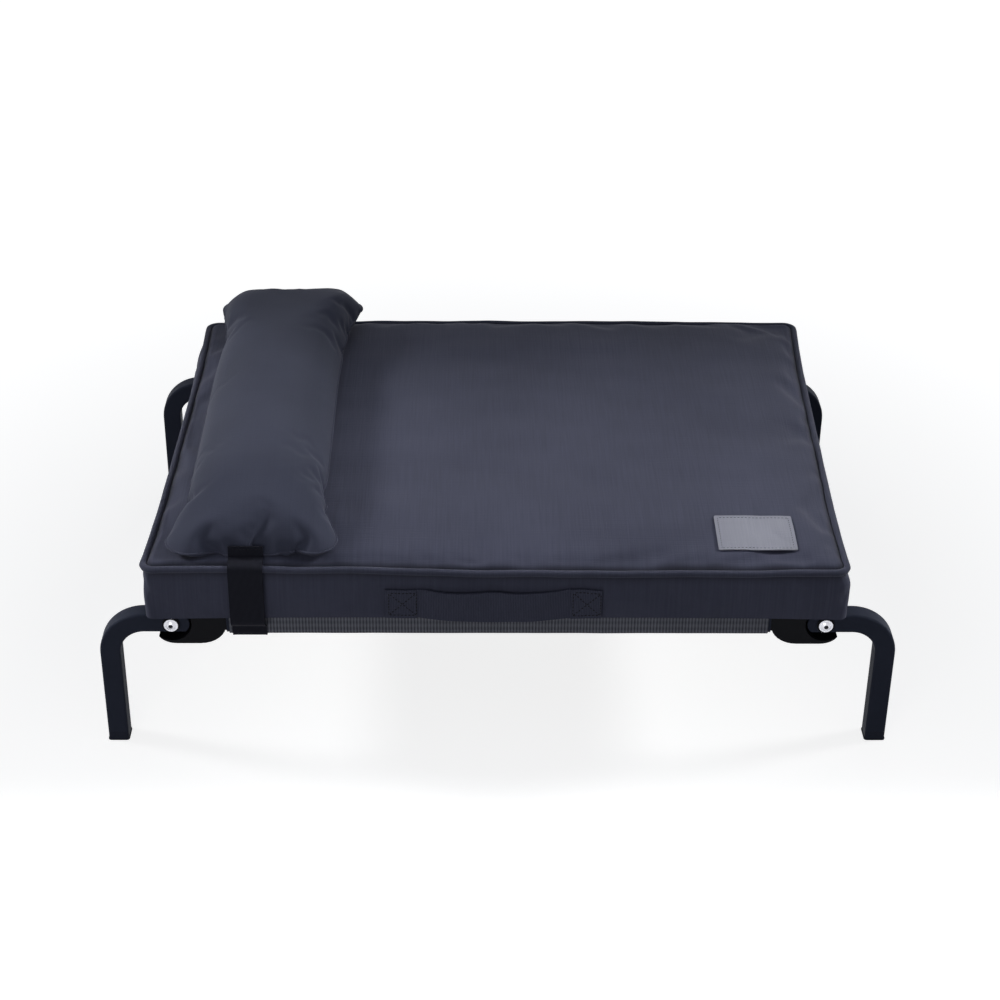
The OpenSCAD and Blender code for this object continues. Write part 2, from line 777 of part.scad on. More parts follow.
// The middle of the strap on the front side, as [distance from the middle of the cot, height]
strap_front = concat(
    [[pillow_half - strap_lap, pillow_end_z]],
    arc(strap_piping_y, seam_z, strap_piping_radius + strap_slack, 70, 40, 2),
    arc(strap_piping_y, seam_z, strap_piping_radius, 20, 0, 2),
    [[strap_piping_y + strap_piping_radius, cushion_bottom + strap_turn_rise],
     [strap_rail_y + strap_rail_radius, rail_z]],
    arc(strap_rail_y, strap_rail_z, strap_rail_radius, 0, -90)
);
strap_route = concat(
    strap_front,
    [for (i = [len(strap_front) - 1 : -1 : 0]) [-strap_front[i].x, strap_front[i].y]]
);

// A line of points moved sideways by the given distance
function beside(route, distance) = [for (i = [0 : len(route) - 1])
    let (
        behind = route[max(i - 1, 0)],
        ahead = route[min(i + 1, len(route) - 1)],
        along = (ahead - behind) / norm(ahead - behind)
    )
    [route[i].x - along.y * distance, route[i].y + along.x * distance]];

module pillow_strap() {
    left = beside(strap_route, strap_half);
    right = beside(strap_route, -strap_half);
    color(strap_colour) translate([strap_x - strap_width / 2, 0, 0]) rotate([90, 0, 90])
        linear_extrude(strap_width)
            polygon(concat(left, [for (i = [len(right) - 1 : -1 : 0]) right[i]]));
}

leg(-1, -1);  // leg_front_left
leg(1, -1);  // leg_front_right
leg(-1, 1);  // leg_back_left
leg(1, 1);  // leg_back_right
foot(-1, -1);  // foot_front_left
foot(1, -1);  // foot_front_right
foot(-1, 1);  // foot_back_left
foot(1, 1);  // foot_back_right
bracket(-1, -1);  // bracket_front_left
bracket(1, -1);  // bracket_front_right
bracket(-1, 1);  // bracket_back_left
bracket(1, 1);  // bracket_back_right
long_rail(-1);  // front_rail
long_rail(1);  // back_rail
end_rail(-1);  // left_end_rail
end_rail(1);  // right_end_rail
frame_bolts();
bolt_washers();
lock_nuts();
mesh_deck();
long_sleeve(-1);  // front_sleeve
long_sleeve(1);  // back_sleeve
end_sleeve(-1);  // left_sleeve
end_sleeve(1);  // right_sleeve
cushion_cover();
cushion_core();
cushion_piping();
carry_handle();
sewn_patch();
zip_tape();
zip_slider();
zip_pull();
pillow_cover();
pillow_filling();
pillow_strap();
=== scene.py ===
# %% [markdown]
# # A raised dog cot, dressed in Blender
# The cot is a bolted tube frame with a stretched mesh deck, a boxed cushion and a strapped-on pillow. The
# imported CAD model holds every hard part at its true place. We could model everything again here, but then
# two models would have to agree. So the CAD model is loaded as a fixed frame, its hard parts get finishes,
# and only the cloth is modelled anew.

# %% Load the frame
import math

import bmesh
import bpy
from mathutils import Matrix, Vector, noise
from mathutils.bvhtree import BVHTree


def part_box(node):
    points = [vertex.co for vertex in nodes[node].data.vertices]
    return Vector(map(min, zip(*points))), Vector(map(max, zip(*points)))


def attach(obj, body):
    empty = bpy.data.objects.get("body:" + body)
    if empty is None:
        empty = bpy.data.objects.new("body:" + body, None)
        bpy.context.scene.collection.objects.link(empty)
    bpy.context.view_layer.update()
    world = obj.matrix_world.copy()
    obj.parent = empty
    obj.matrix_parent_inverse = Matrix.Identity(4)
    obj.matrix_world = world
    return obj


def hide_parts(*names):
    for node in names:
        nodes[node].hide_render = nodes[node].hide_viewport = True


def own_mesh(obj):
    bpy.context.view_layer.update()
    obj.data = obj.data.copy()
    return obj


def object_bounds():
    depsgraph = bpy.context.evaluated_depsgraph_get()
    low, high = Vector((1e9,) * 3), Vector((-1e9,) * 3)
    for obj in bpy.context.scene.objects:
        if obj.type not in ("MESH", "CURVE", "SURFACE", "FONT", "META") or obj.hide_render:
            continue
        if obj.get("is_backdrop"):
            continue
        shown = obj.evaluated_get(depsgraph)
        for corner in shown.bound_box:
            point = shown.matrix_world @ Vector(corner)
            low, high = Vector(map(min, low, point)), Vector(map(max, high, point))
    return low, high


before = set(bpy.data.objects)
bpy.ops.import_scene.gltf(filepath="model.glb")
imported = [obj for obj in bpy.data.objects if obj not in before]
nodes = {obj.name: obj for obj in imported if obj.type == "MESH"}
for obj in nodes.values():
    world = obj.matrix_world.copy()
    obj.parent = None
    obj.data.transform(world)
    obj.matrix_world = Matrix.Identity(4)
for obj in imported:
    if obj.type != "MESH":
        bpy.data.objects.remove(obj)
cad_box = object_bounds()
scene = bpy.context.scene

# %% [markdown]
# ## The camera
# The picture was taken from in front and above, with a long lens and a very slight tilt. A camera can be
# aimed with a constraint, but three plain angles and a place say the same thing and can be checked by hand.

# %% Camera
eye = Vector((-0.032, -1.914, 1.262))
yaw = math.radians(1.08)
pitch = math.radians(30.58)
roll = math.radians(0.67)
focal_length_in_pixels = 2059
picture_side = 1000
sensor_width = 36

ahead = Vector((math.sin(yaw) * math.cos(pitch), math.cos(yaw) * math.cos(pitch), -math.sin(pitch)))
level = Vector((math.cos(yaw), -math.sin(yaw), 0))
raised = level.cross(ahead)
right = level * math.cos(roll) + raised * math.sin(roll)
upward = raised * math.cos(roll) - level * math.sin(roll)

camera = bpy.data.objects.new("camera", bpy.data.cameras.new("camera"))
scene.collection.objects.link(camera)
camera.data.sensor_width = sensor_width
camera.data.lens = sensor_width * focal_length_in_pixels / picture_side
camera.matrix_world = Matrix.Translation(eye) @ Matrix((right, upward, -ahead)).transposed().to_4x4()
scene.camera = camera
scene.view_settings.view_transform = "Standard"
print("camera lens", round(camera.data.lens, 1), "mm")

# %% [markdown]
# ## Node trees in a few words
# Every finish below is a small node tree. Making and linking nodes one by one takes many lines, so helpers
# do it. One turns a colour as a paint shop writes it (0 to 255) into the linear colour that Blender reckons
# with, one adds a node and fills its sockets, and the others are short names for the commonest nodes.

# %% Helpers for node trees
def paint(red, green, blue):
    """The linear colour of a paint given as 0 to 255."""
    linear = []
    for part in (red, green, blue):
        share = part / 255
        linear.append(share / 12.92 if share <= 0.04045 else ((share + 0.055) / 1.055) ** 2.4)
    return (*linear, 1.0)


def add(tree, kind, inputs=None, **settings):
    """Adds a node, sets its options and fills its sockets with values or with other nodes' outputs."""
    node = tree.nodes.new("ShaderNode" + kind)
    for option, value in settings.items():
        setattr(node, option, value)
    for socket, value in (inputs or {}).items():
        if isinstance(value, bpy.types.NodeSocket):
            tree.links.new(value, node.inputs[socket])
        else:
            node.inputs[socket].default_value = value
    return node


def blank_material(name):
    """A material with an empty node tree, and that tree."""
    material = bpy.data.materials.new(name)
    material.use_nodes = True
    material.node_tree.nodes.clear()
    return material, material.node_tree


print("a mid grey paint is", [round(part, 3) for part in paint(128, 128, 128)])

# %% Short names for the commonest nodes
def maths(tree, operation, *values, clamp=False):
    """The result of a Math node."""
    return add(tree, "Math", dict(enumerate(values)), operation=operation, use_clamp=clamp).outputs[0]


def ramp(tree, value, start, end, low, high):
    """A number that goes from low to high while a value goes from start to end."""
    limits = {"Value": value, "From Min": start, "From Max": end, "To Min": low, "To Max": high}
    return add(tree, "MapRange", limits).outputs[0]


def tint(tree, share, first, second):
    """A colour between two others."""
    return add(tree, "Mix", {0: share, 6: first, 7: second}, data_type="RGBA").outputs[2]


def cloud(tree, where, scale, detail=3.0):
    """Soft noise, with so many lumps to the metre."""
    return add(tree, "TexNoise", {"Vector": where, "Scale": scale, "Detail": detail}).outputs["Fac"]


def length_of(tree, vector):
    """The length of a vector."""
    return add(tree, "VectorMath", {0: vector}, operation="LENGTH").outputs["Value"]


def own_place(tree):
    """The place in the piece's own coordinates."""
    return add(tree, "TexCoord").outputs["Object"]


def coat(tree, tone, roughness, relief, strength, depth, more):
    """Ends a tree with a shader of a tone and a roughness, on a bump of a given depth."""
    bump = add(tree, "Bump", {"Height": relief, "Strength": strength, "Distance": depth})
    look = {"Base Color": tone, "Roughness": roughness, "Normal": bump.outputs[0], **more}
    add(tree, "OutputMaterial", {"Surface": add(tree, "BsdfPrincipled", look).outputs[0]})


print("node helpers ready")

# %% [markdown]
# ## The floor and the light
# A studio picture of a dark object has a soft lamp at either side, weak fills in front and behind, and a
# pale floor. A grid in front of each side lamp narrows its beam, so that the light falls off towards the
# back. Lamps from two sides give the soft shade on both sides of the pillow, and a faint dome above fills
# the hollows. The floor could simply be white, but then it would throw so much light up that the shaded
# front of the cushion would lose its depth. So the floor is pale for the camera and for reflections, and
# grey for scattered light.

# %% Floor
white = (1, 1, 1, 1)
black = (0, 0, 0, 1)
floor_half = 6


def seen_directly(tree):
    """One where a ray comes from the camera, a mirror or glass, and nothing where it is scattered light."""
    path = add(tree, "LightPath").outputs
    gloss = maths(tree, "MAXIMUM", path["Is Camera Ray"], path["Is Glossy Ray"])
    return maths(tree, "MAXIMUM", gloss, path["Is Transmission Ray"])


def pale_floor():
    """Studio floor: partly lit by the lamps, so that it keeps the shadow, and for the rest glowing white."""
    material, tree = blank_material("studio_floor")
    direct = seen_directly(tree)
    matt = add(tree, "BsdfDiffuse", {"Color": tint(tree, direct, (0.2, 0.2, 0.21, 1), (0.4, 0.4, 0.4, 1))})
    strength = ramp(tree, length_of(tree, own_place(tree)), 0.45, 1.1, 0.82, 1.0)
    bright = add(tree, "Emission", {"Color": white, "Strength": strength})
    dark = add(tree, "Emission", {"Color": black, "Strength": 0.0})
    glow = add(tree, "MixShader", {0: direct, 1: dark.outputs[0], 2: bright.outputs[0]})
    both = add(tree, "AddShader", {0: matt.outputs[0], 1: glow.outputs[0]})
    add(tree, "OutputMaterial", {"Surface": both.outputs[0]})
    return material


ground = bmesh.new()
bmesh.ops.create_grid(ground, x_segments=2, y_segments=2, size=floor_half)
floor_mesh = bpy.data.meshes.new("studio_floor")
ground.to_mesh(floor_mesh)
ground.free()
floor = bpy.data.objects.new("studio_floor", floor_mesh)
scene.collection.objects.link(floor)
floor_mesh.materials.append(pale_floor())
floor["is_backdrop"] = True
print("floor", 2 * floor_half, "m wide")

# %% Lamps and room
def softbox(name, place, aim, width, depth, power, beam=180):
    """A broad rectangular lamp at a place, turned to a point, with a beam of so many degrees."""
    lamp = bpy.data.lights.new(name, "AREA")
    lamp.spread = math.radians(beam)
    lamp.shape = "RECTANGLE"
    lamp.size = width
    lamp.size_y = depth
    lamp.energy = power
    light = bpy.data.objects.new(name, lamp)
    scene.collection.objects.link(light)
    turn = (Vector(aim) - Vector(place)).to_track_quat("-Z", "Y")
    light.matrix_world = Matrix.Translation(place) @ turn.to_matrix().to_4x4()


for side, reach, power in (("left", -1.05, 1.3), ("right", 1.05, 1.32)):
    softbox(side + "_softbox", (reach, 0.0, 0.95), (-0.14 * reach, -0.34, 0.2), 0.8, 0.8, power, beam=18)
for end, reach, power in (("front", -1, 9), ("back", 1, 2)):
    softbox(end + "_fill", (0.6 * reach, 2.2 * reach, 0.9), (0.0, 0.0, 0.15), 1.2, 0.9, power)

dome_rim = 0.04
dome_top = 0.2
dome_tint = (0.92, 1.0, 1.15)
world = bpy.data.worlds.new("studio")
scene.world = world
world.use_nodes = True
sky = world.node_tree
sky.nodes.clear()
toward = add(sky, "SeparateXYZ", {0: add(sky, "TexCoord").outputs["Generated"]}).outputs["Z"]
squared = maths(sky, "POWER", maths(sky, "MAXIMUM", toward, 0.0), 2.0)
strength = maths(sky, "MULTIPLY_ADD", squared, dome_top, dome_rim)
scattered = add(sky, "VectorMath", {0: dome_tint, "Scale": strength}, operation="SCALE").outputs[0]
room = add(sky, "Background", {"Color": tint(sky, seen_directly(sky), scattered, white), "Strength": 1.0})
add(sky, "OutputWorld", {"Surface": room.outputs[0]})
print("four softboxes and a white room")

# %% [markdown]
# ## Finishes of the hard parts
# The tube is powder-coated steel: satin, nearly black, with the faint orange-peel that baked powder has.
# The brackets and feet are moulded plastic with a fine spark-eroded grain. The bolts are zinc plated, with
# painted shade in their sockets. All of that is tone, roughness and bump, so each finish mixes noise at two
# sizes.

# %% Finishes of the hard parts
def grained(name, dark, light, grain, depth, roughness, spread, metallic=0.0, specular=0.5):
    """A hard finish: a colour that drifts between two paints, and a fine grain in gloss and height."""
    material, tree = blank_material(name)
    where = own_place(tree)
    drift = cloud(tree, where, 22.0)
    fine = cloud(tree, where, grain, 2.0)
    tone = tint(tree, drift, paint(*dark), paint(*light))
    gloss = ramp(tree, drift, 0.0, 1.0, roughness - spread, roughness + spread)
    coat(tree, tone, gloss, fine, depth, 0.0004, {"Metallic": metallic, "Specular IOR Level": specular})
    return material


powder_coat = grained("powder_coat", (45, 49, 61), (57, 61, 75), 900, 0.12, 0.55, 0.06, specular=0.03)
moulded_plastic = grained("moulded_plastic", (10, 11, 15), (16, 17, 22), 1600, 0.25, 0.45, 0.05,
                          specular=0.06)
foot_plastic = grained("foot_plastic", (40, 43, 54), (50, 53, 66), 1600, 0.2, 0.5, 0.05, specular=0.04)
zinc_plate = grained("zinc_plate", (196, 197, 204), (222, 222, 228), 700, 0.06, 0.3, 0.06, metallic=1.0)
dark_metal = grained("dark_metal", (70, 72, 78), (96, 98, 104), 900, 0.08, 0.33, 0.06, metallic=1.0)
# the size, the soft edge and the colour of the painted shade in each bolt's socket
socket_radius = 0.0024
socket_blur = 0.0005
socket_shade_tone = paint(40, 41, 46)


def with_painted_socket_shade(plating, name):
    """A copy of a plating with painted shade inside the bolts' sockets, where no light reaches."""
    head_low, head_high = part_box("frame_bolts")
    head_radius = (head_high.z - head_low.z) / 2
    material = plating.copy()
    material.name = name
    tree = material.node_tree
    shader = next(node for node in tree.nodes if node.type == "BSDF_PRINCIPLED")
    plate = shader.inputs["Base Color"].links[0].from_socket
    where = add(tree, "SeparateXYZ", {0: own_place(tree)}).outputs
    across = maths(tree, "SUBTRACT", maths(tree, "ABSOLUTE", where["X"]), head_high.x - head_radius)
    above = maths(tree, "SUBTRACT", where["Z"], head_low.z + head_radius)
    reach = length_of(tree, add(tree, "CombineXYZ", {0: across, 1: above}).outputs[0])
    # painted shade: a dark disc on each bolt head, where its socket lies
    socket_shade_mask = ramp(tree, reach, socket_radius - socket_blur, socket_radius, 1.0, 0.0)
    tree.links.new(tint(tree, socket_shade_mask, plate, socket_shade_tone), shader.inputs["Base Color"])
    return material


bolt_zinc = with_painted_socket_shade(zinc_plate, "bolt_zinc")
print("hard finishes:", powder_coat.name, moulded_plastic.name, bolt_zinc.name)

# %% Each hard node gets its finish
corners = ("front_left", "front_right", "back_left", "back_right")
rails = ["front_rail", "back_rail", "left_end_rail", "right_end_rail"]
finish_of = {
    powder_coat: [f"leg_{corner}" for corner in corners] + rails,
    moulded_plastic: [f"bracket_{corner}" for corner in corners] + ["bolt_washers"],
    foot_plastic: [f"foot_{corner}" for corner in corners],
    bolt_zinc: ["frame_bolts"],
    zinc_plate: ["lock_nuts"],
    dark_metal: ["zip_slider", "zip_pull"],
}
for finish, names in finish_of.items():
    for name in names:
        nodes[name].data.materials.clear()
        nodes[name].data.materials.append(finish)
print("finished", sum(len(names) for names in finish_of.values()), "hard nodes")

# %% [markdown]
# ## Woven finishes
# The cushion is a dark blue-grey polyester canvas: the warp threads run from front to back and show as fine
# broken streaks. A picture of cloth would repeat, so the weave is made from noise that is stretched along
# one thread direction, once for the warp and once for the weft. A broad, weak third noise is the uneven
# sheen.

# %% Woven finishes
thread_run = 14
# the colour of the painted shade in the cushion's seam groove
painted_groove_shade_tone = paint(14, 15, 20)


def stretched_noise(tree, where, across, along):
    """Noise that has one number of lumps to the metre across x, and another along y and z."""
    fit = add(tree, "Mapping", {"Vector": where, "Scale": (across, along, along)}).outputs[0]
    weave = {"Vector": fit, "Scale": 1.0, "Detail": 2.0, "Roughness": 0.6}
    return add(tree, "TexNoise", weave).outputs["Fac"]


def canvas(name, dark, light, warp, weft, bump, roughness=0.82, sheen=0.06, streak=0.12, painted_groove_shade=""):
    """Plain-woven cloth with a slubby warp, on the piece's own coordinates, with painted shade along an
    attribute.
    """
    material, tree = blank_material(name)
    where = own_place(tree)
    across = stretched_noise(tree, where, warp, thread_run)
    along = stretched_noise(tree, where, thread_run, weft)
    slub = ramp(tree, across, 0.3, 0.7, -streak, streak)
    shade = ramp(tree, cloud(tree, where, 7.0), 0.3, 0.7, 0.3, 0.7)
    tone = tint(tree, maths(tree, "ADD", slub, shade, clamp=True), paint(*dark), paint(*light))
    if painted_groove_shade:
        # painted shade: the tone turns darker where the attribute marks the seam's groove
        tone = tint(tree, add(tree, "Attribute", attribute_name=painted_groove_shade).outputs["Fac"], tone, painted_groove_shade_tone)
    cloth = {"Specular IOR Level": 0.2, "Sheen Weight": sheen, "Sheen Roughness": 0.4}
    coat(tree, tone, roughness, maths(tree, "ADD", across, along), bump, 0.0006, cloth)
    return material


def ribbed(name, dark, light, rib, bump, roughness=0.7):
    """Webbing or mesh with ribs a given distance apart, along the piece's own UV map in metres."""
    material, tree = blank_material(name)
    where = add(tree, "UVMap").outputs[0]
    shape = {"Vector": where, "Scale": math.tau / 20 / rib, "Distortion": 0.4, "Detail": 1.0}
    ribs = add(tree, "TexWave", shape, bands_direction="X").outputs["Fac"]
    cross = add(tree, "TexWave", dict(shape, Scale=shape["Scale"] * 1.7), bands_direction="Y").outputs["Fac"]
    weave = maths(tree, "MULTIPLY_ADD", cross, 0.35, ribs)
    wear = ramp(tree, cloud(tree, where, 30.0), 0.3, 0.7, 0.44, 0.56)
    tone = tint(tree, maths(tree, "MULTIPLY", weave, wear, clamp=True), paint(*dark), paint(*light))
    coat(tree, tone, roughness, weave, bump, 0.0005, {"Specular IOR Level": 0.08})
    return material


cushion_canvas = canvas("cushion_canvas", (52, 54, 69), (74, 76, 94), 620, 760, 0.3, painted_groove_shade="painted_groove_shade")
pillow_canvas = canvas("pillow_canvas", (46, 49, 63), (64, 67, 84), 1300, 1300, 0.22, streak=0.05)
piping_canvas = canvas("piping_canvas", (48, 50, 64), (70, 72, 89), 900, 900, 0.3)
thread = canvas("thread", (17, 18, 24), (28, 29, 37), 2500, 2500, 0.3)
deck_mesh = ribbed("deck_mesh", (70, 72, 81), (150, 152, 162), 0.0031, 0.6)
webbing = ribbed("webbing", (55, 57, 71), (86, 88, 106), 0.0016, 0.4)
elastic = ribbed("elastic", (20, 21, 27), (46, 47, 58), 0.0011, 0.45, roughness=0.8)
print("woven finishes:", cushion_canvas.name, deck_mesh.name, webbing.name, elastic.name)

# %% [markdown]
# ## From a bmesh to a piece
# Each cloth piece is shaped in a bmesh. What happens afterwards is always the same: it becomes a mesh, is
# shaded smoothly, gets its finish, rides on a body, and hides the CAD nodes it stands for. One helper does
# it. Others bend a grid into a strip of cloth, back a panel with a second one, and find places on a
# finished piece.

# %% A finished piece
sharp_from = math.radians(50)
same_place = 1e-6
far_out = 0.5
far_up = 0.4
up = Vector((0, 0, 1))


def finished(bm, name, finish, body, stands_for=()):
    """Makes a piece of a bmesh: smooth, with a finish, riding on a body, in place of CAD nodes."""
    mesh = bpy.data.meshes.new(name)
    bm.to_mesh(mesh)
    bm.free()
    mesh.shade_smooth()
    mesh.set_sharp_from_angle(angle=sharp_from)
    mesh.materials.append(finish)
    piece = bpy.data.objects.new(name, mesh)
    scene.collection.objects.link(piece)
    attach(piece, body)
    if stands_for:
        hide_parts(*stands_for)
    return piece


def subdivided(piece, levels=1):
    """Adds a subdivision surface, the same in the viewport and the render."""
    surface = piece.modifiers.new("subdivision", "SUBSURF")
    surface.levels = levels
    surface.render_levels = levels


def extent(piece):
    """The lowest and the highest corner of a piece's points, in metres."""
    axes = list(zip(*[vertex.co for vertex in piece.data.vertices]))
    return [[round(pick(axis), 3) for axis in axes] for pick in (min, max)]


def bevelled(bm, width, segments):
    """Rounds every edge of a bmesh."""
    bmesh.ops.bevel(bm, geom=bm.edges[:], offset=width, segments=segments, profile=0.5, affect="EDGES",
                    material=-1)


def skin_of(piece):
    """A piece's finished surface, to cast rays at."""
    bpy.context.view_layer.update()
    return BVHTree.FromObject(piece, bpy.context.evaluated_depsgraph_get())


def cast(skin, start, direction):
    """Where a ray meets a surface, or None."""
    return skin.ray_cast(Vector(start), Vector(direction))[0]


print("piece helpers ready")

# %% Sheets of cloth
def bent_grid(columns, rows, place, size):
    """A grid bent into shape by place(across, along), both from 0 to 1, with a UV map in metres."""
    bm = bmesh.new()
    uv = bm.loops.layers.uv.new("UVMap")
    bmesh.ops.create_grid(bm, x_segments=columns, y_segments=rows, size=0.5)
    for face in bm.faces:
        for loop in face.loops:
            loop[uv].uv = ((loop.vert.co.x + 0.5) * size[0], (loop.vert.co.y + 0.5) * size[1])
    for vertex in bm.verts:
        vertex.co = place(vertex.co.x + 0.5, vertex.co.y + 0.5)
    return bm


def thickened(bm, thickness, outward):
    """Turns a sheet's faces outward, by the way that most of them face, and gives it a thickness."""
    bmesh.ops.recalc_face_normals(bm, faces=bm.faces[:])
    if sum(face.normal.dot(outward) for face in bm.faces) < 0:
        bmesh.ops.reverse_faces(bm, faces=bm.faces[:])
    bmesh.ops.solidify(bm, geom=bm.faces[:], thickness=thickness)


def backed(bm, gap):
    """Puts a copy of a panel under it, a gap away, joins their rims and gives the edges that join them."""
    copied = bmesh.ops.duplicate(bm, geom=bm.verts[:] + bm.edges[:] + bm.faces[:])
    under = [item for item in copied["geom"] if isinstance(item, bmesh.types.BMVert)]
    bmesh.ops.translate(bm, vec=(0, 0, -gap), verts=under)
    return bmesh.ops.bridge_loops(bm, edges=[edge for edge in bm.edges if edge.is_boundary])["edges"]


def ease(share):
    """A smooth step from 0 to 1."""
    share = min(max(share, 0), 1)
    return share * share * (3 - 2 * share)


def between(stops, place):
    """A smooth line through (place, value) stops."""
    for (start, low), (end, high) in zip(stops, stops[1:]):
        if place <= end:
            return low + (high - low) * ease((place - start) / (end - start))
    return stops[-1][1]


def arc(centre, radius, start, end, steps):
    """Points on a circle in a plane, from one angle in degrees to another."""
    turns = [math.radians(start + (end - start) * step / steps) for step in range(steps + 1)]
    return [(centre[0] + radius * math.cos(turn), centre[1] + radius * math.sin(turn)) for turn in turns]


print("half way, a smooth step is at", ease(0.5))

# %% [markdown]
# ## Stitches
# Sewing shows as rows of short thread humps. A dashed texture would do from far away, but real humps catch
# the light from every side. One stitch is a small six-sided ball, stretched along the seam and sunk into
# the cloth.

# %% Stitches
stitch_length = 0.0028
stitch_pitch = 0.0036
thread_half = 0.00042


def evenly(points, pitch):
    """Points along a line of points, a pitch apart, and the line's direction there."""
    found = []
    over = pitch / 2
    for start, end in zip(points, points[1:]):
        length = (end - start).length
        while over <= length:
            found.append((start + (end - start) * (over / length), (end - start).normalized()))
            over += pitch
        over -= length
    return found


def sew(bm, points, outward, pitch=stitch_pitch, half=thread_half):
    """Lays stitches along a line of points on a surface that faces outward."""
    for middle, along in evenly(points, pitch):
        side = outward.cross(along).normalized()
        turn = Matrix((along, side, along.cross(side))).transposed().to_4x4()
        size = Matrix.Diagonal((stitch_length / 2, half, half, 1))
        bmesh.ops.create_uvsphere(bm, u_segments=6, v_segments=4, radius=1,
                                  matrix=Matrix.Translation(middle) @ turn @ size)


def sew_on(bm, line, steps, place, outward, half=thread_half):
    """Sews from one plan point to another, in steps that place(a, b) puts on the surface."""
    (a0, b0), (a1, b1) = line
    points = []
    for step in range(steps + 1):
        points.append(place(a0 + (a1 - a0) * step / steps, b0 + (b1 - b0) * step / steps))
    sew(bm, points, outward, half=half)


def border(a0, a1, b0, b1, inset):
    """The four sides of a rectangle inside another, one after the other, as pairs of corners."""
    a0, a1, b0, b1 = a0 + inset, a1 - inset, b0 + inset, b1 - inset
    turns = [(a0, b0), (a1, b0), (a1, b1), (a0, b1)]
    return list(zip(turns, turns[1:] + turns[:1]))


print("a stitch is", stitch_length * 1000, "mm long")

# %% [markdown]
# ## The mesh deck
# The deck is one sheet of ribbed mesh stretched over the rails, with its four corners cut away for the
# brackets, and its edges turned round the rails as sleeves. The sheet starts as a grid that is cut along
# the four corner lines, so that the cut edges are straight. Its rim is bent down over the rails, and its
# middle sags a little.

# %% Deck sheet
deck_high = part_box("mesh_deck")[1]
long_hem_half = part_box("front_sleeve")[1].x
end_hem_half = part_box("left_sleeve")[1].y
cloth_thickness = 0.001
rim_radius = 0.0038
rim_lines = [rim_radius * share for share in (1.0, 0.66, 0.33)]
deck_sag = 0.0012

bm = bmesh.new()
uv = bm.loops.layers.uv.new("UVMap")
bmesh.ops.create_grid(bm, x_segments=64, y_segments=50, size=1)
bmesh.ops.scale(bm, vec=(deck_high.x, deck_high.y, 1), verts=bm.verts[:])
for side in (1, -1):
    for axis, hem_half in ((0, long_hem_half), (1, end_hem_half)):
        normal = Vector((1 - axis, axis, 0))
        for place in [hem_half] + [deck_high[axis] - line for line in rim_lines]:
            bmesh.ops.bisect_plane(bm, geom=bm.verts[:] + bm.edges[:] + bm.faces[:],
                                   plane_co=normal * side * place, plane_no=normal)
cut_out = [face for face in bm.faces if abs(face.calc_center_median().x) > long_hem_half
           and abs(face.calc_center_median().y) > end_hem_half]
bmesh.ops.delete(bm, geom=cut_out, context="FACES")
for face in bm.faces:
    for loop in face.loops:
        loop[uv].uv = loop.vert.co.xy
for vertex in bm.verts:
    x, y = vertex.co.xy
    dip = deck_sag * (1 - (x / deck_high.x) ** 2) * (1 - (y / deck_high.y) ** 2)
    for axis in (0, 1):
        past = abs(vertex.co[axis]) - (deck_high[axis] - rim_radius)
        if past > 0:
            turn = past / rim_radius
            bent = deck_high[axis] - rim_radius * (1 - math.sin(turn))
            vertex.co[axis] = math.copysign(bent, vertex.co[axis])
            dip += rim_radius * (1 - math.cos(turn))
    vertex.co.z = deck_high.z - dip
deck_area = sum(face.calc_area() for face in bm.faces)
thickened(bm, cloth_thickness, up)
deck = finished(bm, "deck_sheet", deck_mesh, "frame", ["mesh_deck"])
print("deck of", round(deck_area, 4), "square metres")

# %% [markdown]
# ## The sleeves
# Each edge of the deck goes down the outside of its rail, under it and up again to a sewn hem. A sleeve is
# a grid bent round that U-shaped path. The ribs of the mesh run round the long rails and along the short
# ones.

# %% Sleeves and their hem stitches
ripple_depth = 0.00035
hem_in = 0.027
hem_pitch = 0.0042


def sleeve(name, axis, side):
    """The turned edge of the deck round one rail. axis is 1 for a long rail and 0 for an end rail."""
    low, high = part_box(name)
    half_length = high[1 - axis]
    middle = abs(low[axis] + high[axis]) / 2
    half_width = (high[axis] - low[axis]) / 2
    edge = half_width - rim_radius
    path = arc((edge, high.z - rim_radius + cloth_thickness), rim_radius, 90 - math.degrees(1), 0, 3)
    path += arc((edge, low.z + rim_radius), rim_radius, 0, -90, 5)
    path += arc((-edge, low.z + rim_radius), rim_radius, -90, -180, 5)
    path.append((-half_width, high.z))
    round_rail = sum(math.dist(start, end) for start, end in zip(path, path[1:]))

    def place(across, along):
        out, height = path[round(across * (len(path) - 1))]
        run = (2 * along - 1) * half_length
        ripple = ripple_depth * noise.noise(Vector((run * 25, out * 40, side * 3.0 + axis)))
        spot = Vector((0, 0, height))
        spot[axis] = side * (middle + out + ripple)
        spot[1 - axis] = run
        return spot

    bm = bent_grid(len(path) - 1, 70, place, (round_rail, 2 * half_length))
    if axis == 1:
        uv = bm.loops.layers.uv["UVMap"]
        for face in bm.faces:
            for loop in face.loops:
                loop[uv].uv = loop[uv].uv.yx
    thickened(bm, cloth_thickness, -up)
    return finished(bm, name + "_cloth", deck_mesh, "frame", [name]), round_rail


for end, axis, side in (("front", 1, -1), ("back", 1, 1), ("left", 0, -1), ("right", 0, 1)):
    piece, round_rail = sleeve(end + "_sleeve", axis, side)

bm = bmesh.new()
for side in (1, -1):
    x, y = side * (deck_high.x - hem_in), side * (deck_high.y - hem_in)
    z = deck_high.z
    sew(bm, [Vector((-long_hem_half, y, z)), Vector((long_hem_half, y, z))], up, hem_pitch)
    sew(bm, [Vector((x, -end_hem_half, z)), Vector((x, end_hem_half, z))], up, hem_pitch)
hem_stitches = finished(bm, "hem_stitches", thread, "frame")
print("four sleeves", round(round_rail * 1000, 1), "mm round")

